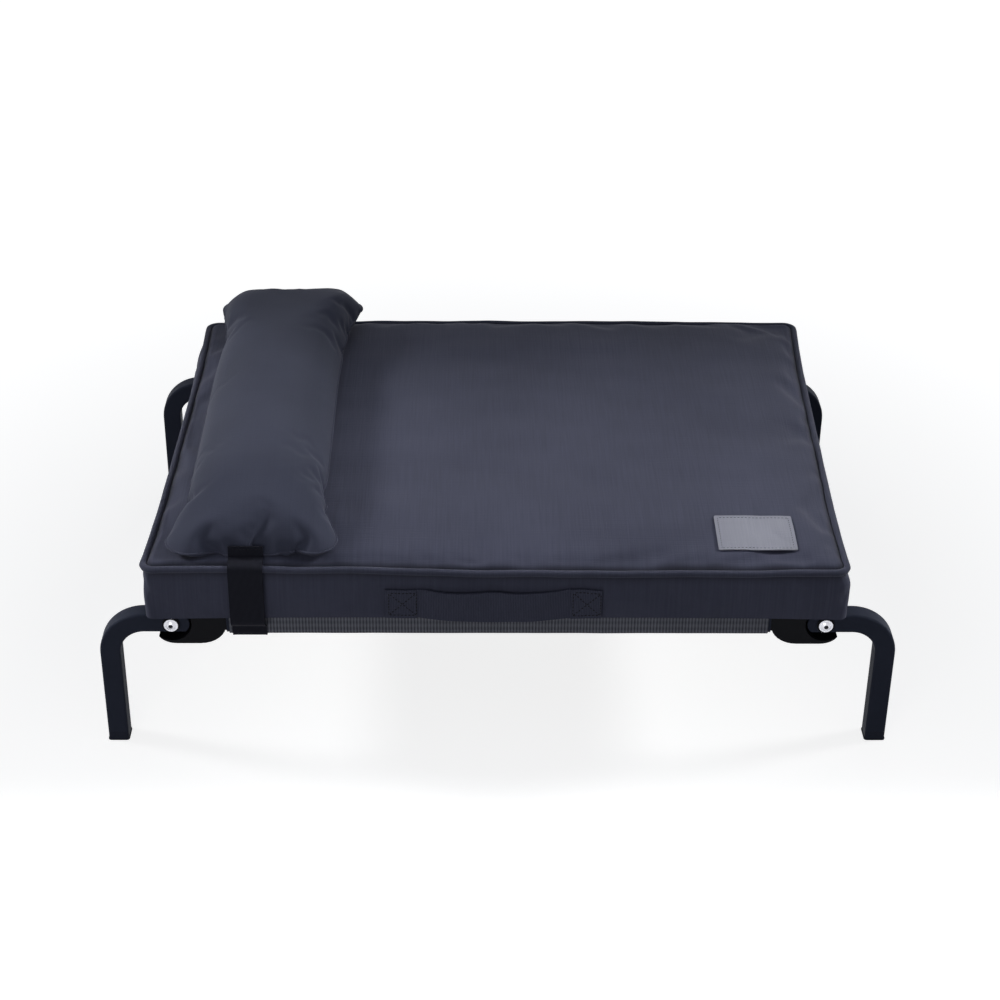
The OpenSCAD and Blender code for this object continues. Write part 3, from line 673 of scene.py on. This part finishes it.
# %% [markdown]
# ## The cushion
# The cushion is a foam slab in a boxed cover: a crowned top panel, a side band and a flat bottom, sewn
# together with piping at the top. Its sides pull in between the corners, the front edge dips in the middle,
# and the top edge is pulled a little askew. The mesh is two grids joined by a band, with its cells closer
# near the seam. Blender's cloth then lets the panels swell between the pinned seams, as cloth does over
# foam.

# %% Outline of the cushion
piping_low, piping_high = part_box("cushion_piping")
cover_low, cover_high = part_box("cushion_cover")
piping_radius = (piping_high.z - piping_low.z) / 2
piping_step = 0.0038
seam_z = (piping_high.z + piping_low.z) / 2
seam_half = Vector((piping_high.x, piping_high.y)) - Vector((1, 1)) * (piping_radius + piping_step)
corner_radius = 0.010
draw_in = 0.004
askew_back_left = 0.008
askew_front_right = -0.008
askew_back_right = 0.010
seam_pucker = 0.0009
front_lift = [(-0.345, 0.003), (-0.15, 0.0012), (0.01, -0.0028), (0.11, -0.0032), (0.22, -0.0022),
              (0.345, 0.0005)]
back_lift = [(-0.345, 0.004), (-0.1, 0.0085), (0.15, 0.009), (0.345, 0.006)]


def rounded(x, y, half, radius):
    """A point of a rectangle, moved so that the rectangle's corners are round."""
    a = (abs(x) - (half.x - radius)) / radius
    b = (abs(y) - (half.y - radius)) / radius
    if a <= 0 or b <= 0:
        return x, y
    return (math.copysign(half.x - radius + radius * a * math.sqrt(1 - b * b / 2), x),
            math.copysign(half.y - radius + radius * b * math.sqrt(1 - a * a / 2), y))


def seam_distance(x, y):
    """Distance from a point of the top panel to its seam."""
    a = abs(x) - (seam_half.x - corner_radius)
    b = abs(y) - (seam_half.y - corner_radius)
    return corner_radius - math.hypot(max(a, 0), max(b, 0)) - min(max(a, b), 0)


def outward_of(x, y):
    """The direction that the cushion's side faces at a point of its outline."""
    inner = seam_half - Vector((1, 1)) * corner_radius
    core = Vector((min(max(x, -inner.x), inner.x), min(max(y, -inner.y), inner.y)))
    return (Vector((x, y)) - core).normalized()


def drawn(x, y):
    """A point of the outline, pulled towards the middle between the corners."""
    pull_x = draw_in * (1 - (y / seam_half.y) ** 4) / seam_half.x
    pull_y = draw_in * (1 - (x / seam_half.x) ** 4) / seam_half.y
    return Vector((x * (1 - max(pull_x, 0)), y * (1 - max(pull_y, 0))))


def shares(x, y):
    """How far over to the right and how far back a point is, from 0 to 1."""
    return x / (2 * seam_half.x) + 0.5, y / (2 * seam_half.y) + 0.5


def pulled_askew(x, y):
    """How far the top edge is pulled along the cot: in at the front right, out at the back."""
    over, back = shares(x, y)
    at_right = askew_front_right + (askew_back_right - askew_front_right) * back
    return (1 - over) * askew_back_left * back + over * at_right


def seam_lift(x, y):
    """How far the seam stands above or below its level height."""
    back = shares(x, y)[1]
    pucker = seam_pucker * noise.noise(Vector((x * 24, y * 24, 6.1)))
    return between(front_lift, x) * (1 - back) + between(back_lift, x) * back + pucker


print("cushion seam", round(2 * seam_half.x, 3), "by", round(2 * seam_half.y, 3), "m")

# %% Panels of the cushion
crown = cover_high.z - seam_z
crown_run = 0.095
shoulder = 0.0052
shoulder_run = 0.006
slow_wave = 0.0014
quick_wave = 0.0005
band_swell = 0.0022
band_fold = 0.35
band_round = 0.6
askew_fade = 0.35
splay_fade = 0.2
corner_fade = 0.05
zip_end_flatter = 0.6
left_push = 0.0042
left_push_from = 0.25
left_push_run = 0.08


def fullness(distance, run):
    """How far a panel has risen at a distance from its edge, from 0 to 1."""
    left = 1 - min(max(distance / run, 0), 1)
    return 1 - left * left


def top_point(x, y):
    """A point of the top panel."""
    roll_over = fullness(seam_distance(x, y), shoulder_run)
    body = fullness(seam_half.x - abs(x), crown_run) * fullness(seam_half.y - abs(y), crown_run)
    slow = noise.noise(Vector((x * 8, y * 8, 3.1)))
    quick = noise.noise(Vector((x * 23, y * 17, 7.7)))
    plan = drawn(x, y)
    height = seam_z + seam_lift(x, y) + shoulder * roll_over + (crown - shoulder) * body
    height += (slow_wave * slow + quick_wave * quick) * roll_over
    return Vector((plan.x + pulled_askew(x, y), plan.y, height))


def left_splay(x):
    """How far the band stands out at the left-hand end, where the foam pushes it."""
    return left_push * ease((-x - left_push_from) / left_push_run)


def band_point(x, y, down):
    """A point of the side band, from 0 at the seam to 1 at the bottom edge."""
    plan = drawn(x, y)
    outward = outward_of(x, y)
    fold = noise.noise(Vector((x * 14, y * 14, 5.3 + down)))
    from_corner = max(seam_half.x - abs(x), seam_half.y - abs(y))
    out = band_swell * math.sin(math.pi * down) ** band_round * (1 + band_fold * fold)
    out *= ease(from_corner / corner_fade)
    out *= 1 - zip_end_flatter * max(outward.x, 0)
    askew = pulled_askew(x, y) * (1 - ease(down / askew_fade)) - left_splay(x) * ease(down / splay_fade)
    top = seam_z + seam_lift(x, y)
    height = top + (cover_low.z - top) * down
    return Vector((plan.x + outward.x * out + askew, plan.y + outward.y * out, height))


print("cushion seam at", round(seam_z * 1000, 1), "mm, crown", round(crown * 1000, 1), "mm")

# %% Cushion mesh
columns = 116
rows = 90
band_rows = 12
closer = 0.62
bottom_crease = 0.75
# painted shade along the seam: its strength, how far it reaches onto the top panel, how much that reach
# wanders, and how far down the band it reaches below the piping
seam_shade_strength = 0.9
seam_shade_run = 0.005
seam_shade_wander = 0.5
shade_below_piping = 0.2
touching = 1e-5


def closer_to_edge(share):
    """Spreads grid lines so that they are closer together near the edge."""
    return share * (1 - closer + closer * (1.5 - 0.5 * share * share))


bm = bmesh.new()
bmesh.ops.create_grid(bm, x_segments=columns, y_segments=rows, size=1)
for vertex in bm.verts:
    x, y = rounded(closer_to_edge(vertex.co.x) * seam_half.x, closer_to_edge(vertex.co.y) * seam_half.y,
                   seam_half, corner_radius)
    vertex.co = (x, y, 1)
uprights = [edge for edge in backed(bm, 1) if abs(edge.verts[0].co.z - edge.verts[1].co.z) > 0.5]
bmesh.ops.subdivide_edges(bm, edges=uprights, cuts=band_rows - 1)
bmesh.ops.recalc_face_normals(bm, faces=bm.faces[:])
bm.verts.index_update()
# an attribute that holds the painted shade of the seam's groove, strongest at the seam
painted_groove_shade_layer = bm.verts.layers.float.new("painted_groove_shade")
seam_ring = []
flat_bottom = []
bottom_ring = set()
for vertex in bm.verts:
    x, y, height_share = vertex.co
    down = 1 - height_share
    on_edge = seam_distance(x, y) < touching
    if down < touching:
        vertex.co = top_point(x, y)
        run = seam_shade_run * (1 + seam_shade_wander * noise.noise(Vector((x * 30, y * 30, 4.4))))
        # painted shade on the top panel, fading inwards from the seam
        vertex[painted_groove_shade_layer] = seam_shade_strength * max(1 - seam_distance(x, y) / run, 0)
        if on_edge:
            seam_ring.append((math.atan2(y / seam_half.y, x / seam_half.x), vertex.index, Vector((x, y))))
    elif height_share < touching:
        flat_bottom.append(vertex.index)
        plan = drawn(x, y)
        vertex.co = (plan.x - left_splay(x), plan.y, cover_low.z)
        if on_edge:
            bottom_ring.add(vertex.index)
    else:
        vertex.co = band_point(x, y, down)
        # painted shade on the band, fading downwards from under the piping
        vertex[painted_groove_shade_layer] = seam_shade_strength * max(1 - down / shade_below_piping, 0)
seam_ring.sort(key=lambda item: item[0])
seam_points = [index for _, index, _ in seam_ring]
creases = bm.edges.layers.float.new("crease_edge")
for edge in bm.edges:
    ends = {vertex.index for vertex in edge.verts}
    if ends <= set(seam_points):
        edge[creases] = 1
    elif ends <= bottom_ring:
        edge[creases] = bottom_crease
print("cushion mesh of", len(bm.verts), "points, seam of", len(seam_ring))

# %% Cushion cloth
def swell(piece, pinned, pressure, steps, most, slack=0.0, stiffness=15.0):
    """Runs the cloth solver with a pressure inside, and keeps the shape it finds, up to a greatest move."""
    start = [vertex.co.copy() for vertex in piece.data.vertices]
    pins = piece.vertex_groups.new(name="pins")
    pins.add(pinned, 1.0, "REPLACE")
    cloth = piece.modifiers.new("cloth", "CLOTH")
    settings = {
        "vertex_group_mass": pins.name, "quality": 6, "mass": 0.2, "tension_stiffness": stiffness,
        "compression_stiffness": stiffness, "shear_stiffness": stiffness / 3, "bending_stiffness": 0.2,
        "use_pressure": True, "uniform_pressure_force": pressure, "shrink_min": -slack}
    for option, value in settings.items():
        setattr(cloth.settings, option, value)
    cloth.settings.effector_weights.gravity = 0
    cloth.point_cache.frame_start = 1
    cloth.point_cache.frame_end = steps
    for step in range(1, steps + 1):
        scene.frame_set(step)
    swollen = piece.evaluated_get(bpy.context.evaluated_depsgraph_get()).data
    reached = [vertex.co.copy() for vertex in swollen.vertices]
    piece.modifiers.remove(cloth)
    piece.vertex_groups.remove(pins)
    furthest = 0.0
    for vertex, before, after in zip(piece.data.vertices, start, reached):
        move = after - before
        furthest = max(furthest, move.length)
        if move.length > 1e-9:
            move *= most * math.tanh(move.length / most) / move.length
        vertex.co = before + move
    scene.frame_set(1)
    return furthest


calm_rounds = 3
cushion = finished(bm, "cushion", cushion_canvas, "cushion", ["cushion_cover"])
furthest = swell(cushion, seam_points + flat_bottom, 0.8, 16, 0.0024, slack=0.016)
print("cushion cloth moved up to", round(furthest * 1000, 1), "mm before the cap")
fixed = set(seam_points + flat_bottom)
panels = cushion.vertex_groups.new(name="panels")
panels.add([vertex.index for vertex in cushion.data.vertices if vertex.index not in fixed], 1.0, "REPLACE")
calmer = cushion.modifiers.new("calmer", "SMOOTH")
calmer.vertex_group = panels.name
calmer.factor = 0.5
calmer.iterations = calm_rounds
subdivided(cushion)
print("cushion from", *extent(cushion))

# %% [markdown]
# ## The piping
# Piping is a cord wrapped in a strip of the same cloth and caught in the seam. It follows the pinned ring
# of seam points, a little further out. A round bevel on a closed curve makes it, and a slight change of
# radius along the way gives it the puckers that the sewing leaves.

# %% Piping
def cord_round(name, points, radii):
    """A round closed cord through points as a mesh, from a bevelled curve."""
    curve = bpy.data.curves.new(name, "CURVE")
    curve.dimensions = "3D"
    curve.bevel_depth = 1.0
    curve.bevel_resolution = 2
    line = curve.splines.new("POLY")
    line.points.add(len(points) - 1)
    for spot, point, radius in zip(line.points, points, radii):
        spot.co = (*point, 1)
        spot.radius = radius
    line.use_cyclic_u = True
    holder = bpy.data.objects.new(name + "_curve", curve)
    mesh = bpy.data.meshes.new_from_object(holder)
    bm = bmesh.new()
    bm.from_mesh(mesh)
    bpy.data.objects.remove(holder)
    bpy.data.curves.remove(curve)
    bpy.data.meshes.remove(mesh)
    bmesh.ops.remove_doubles(bm, verts=bm.verts[:], dist=same_place)
    bmesh.ops.recalc_face_normals(bm, faces=bm.faces[:])
    return bm


piping_sunk = 0.0009
piping_pucker = 0.05
piping_points = []
piping_radii = []
for _, index, plan in seam_ring:
    out = outward_of(plan.x, plan.y) * (piping_step - piping_sunk)
    spot = cushion.data.vertices[index].co
    piping_points.append(Vector((spot.x + out.x, spot.y + out.y, spot.z)))
    pucker = piping_pucker * noise.noise(Vector((spot.x * 60, spot.y * 60, 1.7)))
    piping_radii.append(piping_radius * (1 + pucker))
bm = cord_round("piping", piping_points, piping_radii)
finished(bm, "piping", piping_canvas, "cushion", ["cushion_piping"])
print("piping of", len(piping_points), "points")

# %% [markdown]
# ## The carry handle
# The handle is a strip of webbing, sewn flat to the front band at both ends with a box and a cross, and
# standing off a little between them, where its own weight makes it droop. It is a bent grid with thickness,
# laid on the finished cushion by casting rays at it.

# %% Carry handle
cushion_skin = skin_of(cushion)
handle_low, handle_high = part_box("carry_handle")
handle_length = handle_high.x - handle_low.x
handle_width = handle_high.z - handle_low.z
handle_middle = (handle_low.x + handle_high.x) / 2
sewn_length = 0.031
free_half = handle_length / 2 - sewn_length
handle_bow = 0.0042
handle_droop = 0.0017
handle_curl = 0.0008
folded_end = 0.0014
fold_run = 0.0012
ray_margin = 0.002
webbing_thickness = 0.0020
toward_front = Vector((0, -1, 0))


def front_face(x, z):
    """The place of the cushion's front band behind a point."""
    return cast(cushion_skin, (x, -far_out, z), -toward_front).y


def handle_point(along, up_share):
    """A point of the handle's outer face."""
    x = handle_low.x + along * handle_length
    share = min(abs(x - handle_middle) / free_half, 1)
    loose = (1 - share ** 4) ** 1.5
    z = handle_low.z + up_share * handle_width - handle_droop * loose
    base = front_face(x, min(max(z, handle_low.z + ray_margin), handle_high.z))
    curl = handle_curl * (2 * up_share - 1) ** 2 * loose
    doubled = folded_end * ease((abs(x - handle_middle) - free_half) / fold_run)
    return Vector((x, base - webbing_thickness - doubled - handle_bow * loose - curl, z))


bm = bent_grid(216, 10, handle_point, (handle_length, handle_width))
thickened(bm, webbing_thickness, toward_front)
handle = finished(bm, "handle", webbing, "cushion", ["carry_handle"])
rounding = handle.modifiers.new("rounding", "BEVEL")
rounding.width = 0.0004
rounding.segments = 2
rounding.limit_method = "ANGLE"
print("handle", round(handle_length * 1000), "mm long")

# %% Handle stitches
box_inset = 0.0035
fold_inset = 0.001
box_length = sewn_length + box_inset - fold_inset
heavy_thread = 0.0006


def on_handle(x, z):
    """A point of the outer face of the handle's sewn ends."""
    return Vector((x, front_face(x, z) - webbing_thickness - folded_end, z))


bm = bmesh.new()
for start in (handle_low.x, handle_high.x - sewn_length):
    box = border(start, start + box_length, handle_low.z, handle_high.z, box_inset)
    cross = [(box[0][0], box[2][0]), (box[1][0], box[3][0])]
    for line in box + cross:
        sew_on(bm, line, 8, on_handle, toward_front, half=heavy_thread)
finished(bm, "handle_stitches", thread, "cushion")
print("a box and a cross at both ends of the handle")

# %% [markdown]
# ## The sewn-on patch
# A small rectangle of grey felted cloth is sewn to the front right of the top panel. It follows the panel's
# curve, so its grid is dropped onto the cushion by rays from above. A row of stitches runs just inside its
# edge.

# %% Patch
patch_low, patch_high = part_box("sewn_patch")
patch_middle = (patch_low + patch_high) / 2
patch_size = (patch_high - patch_low).xy
patch_thickness = 0.001
patch_clear = 0.0004
patch_corner = 0.0014
patch_curl = 0.0008
curl_run = 0.004
patch_inset = 0.0032
felt = canvas("felt", (122, 123, 134), (156, 157, 168), 900, 900, 0.5, roughness=0.9, sheen=0.2)
patch_thread = canvas("patch_thread", (78, 79, 90), (104, 105, 116), 2500, 2500, 0.3)


def top_face(x, y):
    """The height of the cushion's top at a point."""
    return cast(cushion_skin, (x, y, far_up), -up).z


def patch_bed(x, y):
    """The height that the stiff patch lies at: it follows bulges of the cushion and bridges dips."""
    across = (x - patch_low.x) / patch_size.x
    along = (y - patch_low.y) / patch_size.y
    front = top_face(patch_low.x, patch_low.y) * (1 - across) + top_face(patch_high.x, patch_low.y) * across
    back = top_face(patch_low.x, patch_high.y) * (1 - across) + top_face(patch_high.x, patch_high.y) * across
    return max(front * (1 - along) + back * along, top_face(x, y)) + patch_thickness + patch_clear


def patch_point(across, along):
    """A point of the patch's upper face."""
    half = patch_size / 2
    x, y = rounded((2 * across - 1) * half.x, (2 * along - 1) * half.y, half, patch_corner)
    x += patch_middle.x
    y += patch_middle.y
    edge = min(min(across, 1 - across) * patch_size.x, min(along, 1 - along) * patch_size.y)
    uneven = 0.6 + 0.4 * noise.noise(Vector((x * 60, y * 60, 2.2)))
    return Vector((x, y, patch_bed(x, y) + patch_curl * ease(1 - edge / curl_run) * uneven))


bm = bent_grid(38, 28, patch_point, patch_size)
thickened(bm, patch_thickness, up)
patch = finished(bm, "patch", felt, "cushion", ["sewn_patch"])

bm = bmesh.new()
for line in border(patch_low.x, patch_high.x, patch_low.y, patch_high.y, patch_inset):
    sew_on(bm, line, 16, lambda x, y: Vector((x, y, patch_bed(x, y))), up)
finished(bm, "patch_stitches", patch_thread, "cushion")
print("patch", round(patch_size.x * 1000), "by", round(patch_size.y * 1000), "mm")

# %% [markdown]
# ## The zip
# The cover opens along its right-hand end. A zip is two woven tapes with a row of moulded teeth between
# them. Teeth are tiny bevelled blocks, set in turn to one side and the other. The slider and its pull are
# CAD nodes.

# %% Zip
zip_low, zip_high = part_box("zip_tape")
zip_size = zip_high - zip_low
zip_middle = (zip_low.z + zip_high.z) / 2
tape_thickness = 0.0008
tape_clear = 0.0006
tape_inset = 0.0022
toward_right = Vector((1, 0, 0))
zip_cloth = ribbed("zip_cloth", (26, 27, 33), (44, 45, 53), 0.0012, 0.35)
zip_nylon = grained("zip_nylon", (20, 21, 25), (30, 31, 36), 1500, 0.1, 0.35, 0.04)


def on_tape(y, z):
    """A point of the outer face of the zip's tape, which lies on the cushion's right-hand end."""
    end_face = cast(cushion_skin, (far_out, y, z), -toward_right).x
    return Vector((max(end_face + tape_clear, zip_low.x), y, z))


bm = bent_grid(80, 12, lambda along, up_share: on_tape(zip_low.y + along * zip_size.y,
                                                       zip_low.z + up_share * zip_size.z), zip_size.yz)
thickened(bm, tape_thickness, toward_right)
finished(bm, "zip_tapes", zip_cloth, "cushion", ["zip_tape"])

tooth_pitch = 0.0026
tooth_size = (0.0016, 0.0017, 0.0042)
tooth_bevel = 0.0003
tooth_aside = 0.0007
tooth_sunk = 0.0009
tooth_proud = 0.0005
end_stop = 0.002
teeth = int((zip_size.y - 2 * end_stop) / tooth_pitch)
bm = bmesh.new()
for tooth in range(teeth):
    y = zip_low.y + end_stop + tooth * tooth_pitch
    out = max(zip_high.x - tooth_sunk, on_tape(y, zip_middle).x + tooth_proud)
    spot = Matrix.Translation((out, y, zip_middle + (tooth_aside if tooth % 2 else -tooth_aside)))
    bmesh.ops.create_cube(bm, size=1, matrix=spot @ Matrix.Diagonal((*tooth_size, 1)))
bevelled(bm, tooth_bevel, 1)
finished(bm, "zip_teeth", zip_nylon, "cushion")

bm = bmesh.new()
for line in border(zip_low.y, zip_high.y, zip_low.z, zip_high.z, tape_inset):
    sew_on(bm, line, 40, on_tape, toward_right)
finished(bm, "zip_stitches", patch_thread, "cushion")
print("zip of", teeth, "teeth")

# %% [markdown]
# ## The pillow
# The pillow is two plain panels sewn together round the edge and stuffed. Drawn as a smooth loaf it would
# look like plastic. Blown up as cloth, two flat panels find the real shape by themselves: a full belly, a
# narrower waist, ears at the corners and puckers along the seam. The pillow is then set down on the
# cushion, flat where it rests, with room to slide along it, and its front end is pulled down where the
# strap is sewn on.

# %% Pillow panels
pillow_low, pillow_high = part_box("pillow_cover")
pillow_middle = (pillow_low.x + pillow_high.x) / 2
pillow_panel = Vector((0.0905, 0.262))
panel_corner = 0.028
panel_bulge = 0.010
panel_gap = 0.0012
stuffed_run = 0.06
stuffed_rise = 9
lump_depth = 0.002
strap_low, strap_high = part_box("pillow_strap")
strap_width = strap_high.x - strap_low.x
strap_x = (strap_low.x + strap_high.x) / 2
strap_off = strap_x - pillow_middle

bm = bmesh.new()
bmesh.ops.create_grid(bm, x_segments=40, y_segments=122, size=1)
for vertex in bm.verts:
    x, y = rounded(vertex.co.x * pillow_panel.x, vertex.co.y * pillow_panel.y, pillow_panel, panel_corner)
    y *= 1 + panel_bulge / pillow_panel.y * (1 - (x / pillow_panel.x) ** 2)
    vertex.co = (x, y, panel_gap / 2)
backed(bm, panel_gap)
bmesh.ops.recalc_face_normals(bm, faces=bm.faces[:])
for vertex in bm.verts:
    full = fullness(pillow_panel.x - abs(vertex.co.x), stuffed_run)
    full *= fullness(pillow_panel.y - abs(vertex.co.y), stuffed_run)
    vertex.co.z *= 1 + stuffed_rise * full
    vertex.co.z += lump_depth * full * noise.noise(Vector((vertex.co.x * 22, vertex.co.y * 16, 2.7)))
bm.verts.index_update()
rim_pairs = []
strap_seam = []
for edge in bm.edges:
    a, b = edge.verts
    if (a.co.xy - b.co.xy).length < same_place:
        rim_pairs.append((math.atan2(a.co.y / pillow_panel.y, a.co.x / pillow_panel.x), a.index, b.index))
        if abs(a.co.x - strap_off) < strap_width / 2 and abs(a.co.y) > pillow_panel.y:
            strap_seam += [a.index, b.index]
rim_pairs.sort()
pillow = finished(bm, "pillow", pillow_canvas, "pillow", ["pillow_cover"])
furthest = swell(pillow, [], 14.0, 40, 0.06, stiffness=30.0)
print("pillow cloth moved up to", round(furthest * 1000, 1), "mm")
print("pillow panels of", len(pillow.data.vertices), "points")

# %% Pillow set down on the cushion
pillow_seam_z = 0.2362
pillow_tilt = 0.005
pillow_sway = [(-0.25, -0.002), (0.05, -0.002), (0.25, 0.005)]
front_from = 0.15
front_run = 0.1
front_droop = 0.010
front_spread = 0.03
back_from = 0.13
back_run = 0.09
back_boxing = 0.76
back_raise = 0.0065
ear_reach = 1.12
strap_pull_down = 0.005
strap_pull_out = 0.003
pull_half = 0.034
pull_run = 0.05
pillow_rest = 0.0009
slide_reach = 0.11
slide_steps = 6

rise = max(vertex.co.z for vertex in pillow.data.vertices)
flatter = (pillow_high.z - pillow_seam_z) / rise
for vertex in pillow.data.vertices:
    x, y, z = vertex.co
    across = min(abs(x) / pillow_panel.x * ear_reach, 1)
    to_front = ease((-y - front_from) / front_run)
    to_back = ease((y - back_from) / back_run)
    if z > 0:
        z *= 1 + back_boxing * to_back * across ** 2 * (1 - across ** 8)
    x *= 1 + front_spread * to_front
    tilt = pillow_tilt * y / pillow_panel.y - front_droop * to_front + back_raise * to_back * across ** 2
    pull = math.exp(-((x - strap_off) / pull_half) ** 2) * ease((-y - pillow_panel.y + pull_run) / pull_run)
    spot = Vector((pillow_middle + x + between(pillow_sway, y), y - strap_pull_out * pull,
                   pillow_seam_z + tilt + z * flatter - strap_pull_down * pull))
    for step in range(slide_steps + 1):
        bed = cast(cushion_skin, (spot.x + slide_reach * step / slide_steps, spot.y, far_up), -up)
        if bed:
            spot.z = max(spot.z, bed.z + pillow_rest)
    vertex.co = spot
subdivided(pillow)
print("pillow from", *extent(pillow))

# %% Pillow seam
seam_radius = 0.0011
pillow_points = [vertex.co.copy() for vertex in pillow.data.vertices]
rim_points = [(pillow_points[first] + pillow_points[second]) / 2 for _, first, second in rim_pairs]
bm = cord_round("pillow_seam", rim_points, [seam_radius] * len(rim_points))
finished(bm, "pillow_seam", piping_canvas, "pillow")
print("pillow seam of", len(rim_points), "points")

# %% [markdown]
# ## The fillings
# Inside the covers are a foam slab and a fibre filling. Nobody sees them while the covers are closed, but a
# cover around nothing would be wrong for anyone who opens the model, so both get their real form and
# finish.

# %% Foam core and fibre filling
core_low, core_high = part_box("cushion_core")
foam_edge = 0.012
foam = grained("foam", (196, 186, 160), (214, 206, 182), 700, 0.8, 0.9, 0.05, specular=0.2)
fibre = grained("fibre", (226, 226, 222), (240, 240, 238), 260, 0.9, 0.95, 0.03, specular=0.2)
slab = Matrix.Translation((core_low + core_high) / 2) @ Matrix.Diagonal((*(core_high - core_low), 1))
bm = bmesh.new()
bmesh.ops.create_cube(bm, size=1, matrix=slab)
bevelled(bm, foam_edge, 4)
core = finished(bm, "foam_core", foam, "cushion", ["cushion_core"])

pillow_skin = skin_of(pillow)
filling_narrower = 0.78
filling_shorter = 0.93
filling_thinner = 0.84
bm = bmesh.new()
bm.from_mesh(pillow.data)
upper_points = len(bm.verts) // 2
for vertex in bm.verts:
    x = pillow_middle + (vertex.co.x - pillow_middle) * filling_narrower
    y = vertex.co.y * filling_shorter
    above = cast(pillow_skin, (x, y, far_out), -up).z
    below = cast(pillow_skin, (x, y, cover_low.z), up).z
    half = (above - below) / 2 * filling_thinner
    vertex.co = (x, y, (above + below) / 2 + (half if vertex.index < upper_points else -half))
filling = finished(bm, "fibre_filling", fibre, "pillow", ["pillow_filling"])
print("foam core and fibre filling made")

# %% [markdown]
# ## The elastic strap
# A broad black elastic is sewn onto both ends of the pillow, runs down over the piping and round the rails,
# and under the deck from front to back. It is a bent grid along that route, and rays cast at the pillow
# find where its ends lie. When the cushion is lifted off, the real strap would be stretched clear of the
# frame first.

# %% Route of the strap
strap_thickness = 0.0015
strap_middle = strap_thickness / 2
strap_clear = 0.0004
over_seam = strap_middle + 0.0012
over_piping = piping_radius + 0.0011 + strap_middle
piping_out_y = piping_high.y - draw_in - piping_radius
bend_drop = 0.002
rail_top_z = 0.140
rail_turn = rim_radius + strap_clear + strap_middle
rail_out_y = -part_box("front_sleeve")[0].y + strap_clear + strap_middle
under_z = strap_low.z + strap_middle
tab_heights = (0.0115, 0.0085, 0.0055, 0.0025, 0.0005)
tab_places = (-0.4, -0.2, 0.0, 0.2, 0.4)


def half_route(side):
    """The strap's middle line from an end of the pillow to under the rail, for one side of the cot."""
    ends = [pillow_points[index] for index in strap_seam if pillow_points[index].y * side > 0]
    end_z = min(spot.z for spot in ends)
    end_y = max(abs(spot.y) for spot in ends)
    line = []
    for up_by in tab_heights:
        tries = [(strap_x + aside * strap_width, side * far_out, end_z + up_by) for aside in tab_places]
        hits = [cast(pillow_skin, outside, (0, -side, 0)) for outside in tries]
        reached = [abs(hit.y) for hit in hits if hit and hit.y * side > 0]
        line.append((max(reached, default=end_y) + over_seam, end_z + up_by))
    cord = (piping_out_y, seam_z + seam_lift(strap_x, side * seam_half.y))
    line += arc(cord, over_piping + strap_clear, 62, 35, 3) + arc(cord, over_piping, 20, 0, 3)
    line += [(piping_out_y + over_piping, cover_low.z - bend_drop), (rail_out_y, rail_top_z)]
    line += arc((rail_out_y - rail_turn, under_z + rail_turn), rail_turn, 0, -90, 6)
    return [Vector((0, side * y, z)) for y, z in line]


front_half = half_route(-1)
back_half = half_route(1)
route = front_half + [Vector((0, 0, under_z))] + back_half[::-1]
marks = [0.0]
for start, end in zip(route, route[1:]):
    marks.append(marks[-1] + (end - start).length)
strap_length = marks[-1]
print("strap", round(strap_length * 1000), "mm long")

# %% Strap
strap_edge = 0.0002
strap_edge_run = 0.003
strap_stitch_inset = 0.003


def strap_spot(distance):
    """A point of the strap's middle line, and the direction away from what it lies on."""
    for index in range(len(route) - 1):
        if distance <= marks[index + 1] + 1e-9:
            share = (distance - marks[index]) / (marks[index + 1] - marks[index])
            along = (route[index + 1] - route[index]).normalized()
            return route[index].lerp(route[index + 1], share), along.cross(toward_right)
    return route[-1], up


def strap_point(across, along):
    """A point of the strap's outer face, with thicker woven edges."""
    spot, away = strap_spot(along * strap_length)
    edge = strap_edge * ease(1 - min(across, 1 - across) * strap_width / strap_edge_run)
    return spot + away * (strap_middle + edge) + toward_right * (strap_low.x + across * strap_width)


bm = bent_grid(14, 300, strap_point, (strap_width, strap_length))
thickened(bm, strap_thickness, -up)
strap = finished(bm, "strap", elastic, "pillow", ["pillow_strap"])
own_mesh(strap)

bm = bmesh.new()
for half, side in ((front_half, -1), (back_half, 1)):
    row = half[1] + Vector((0, side * strap_middle, 0))
    ends = (strap_low.x + strap_stitch_inset, strap_high.x - strap_stitch_inset)
    sew(bm, [row + toward_right * x for x in ends], Vector((0, side, 0)))
finished(bm, "strap_stitches", thread, "pillow")

# %% [markdown]
# ## Sizes
# The cloth may stand a little proud of the CAD model, so the sizes of both are printed.

# %% Sizes
bpy.context.view_layer.update()
visual_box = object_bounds()
for label, box in (("CAD", cad_box), ("visual", visual_box)):
    print(label, [round((high - low) * 1000, 1) for low, high in zip(*box)])
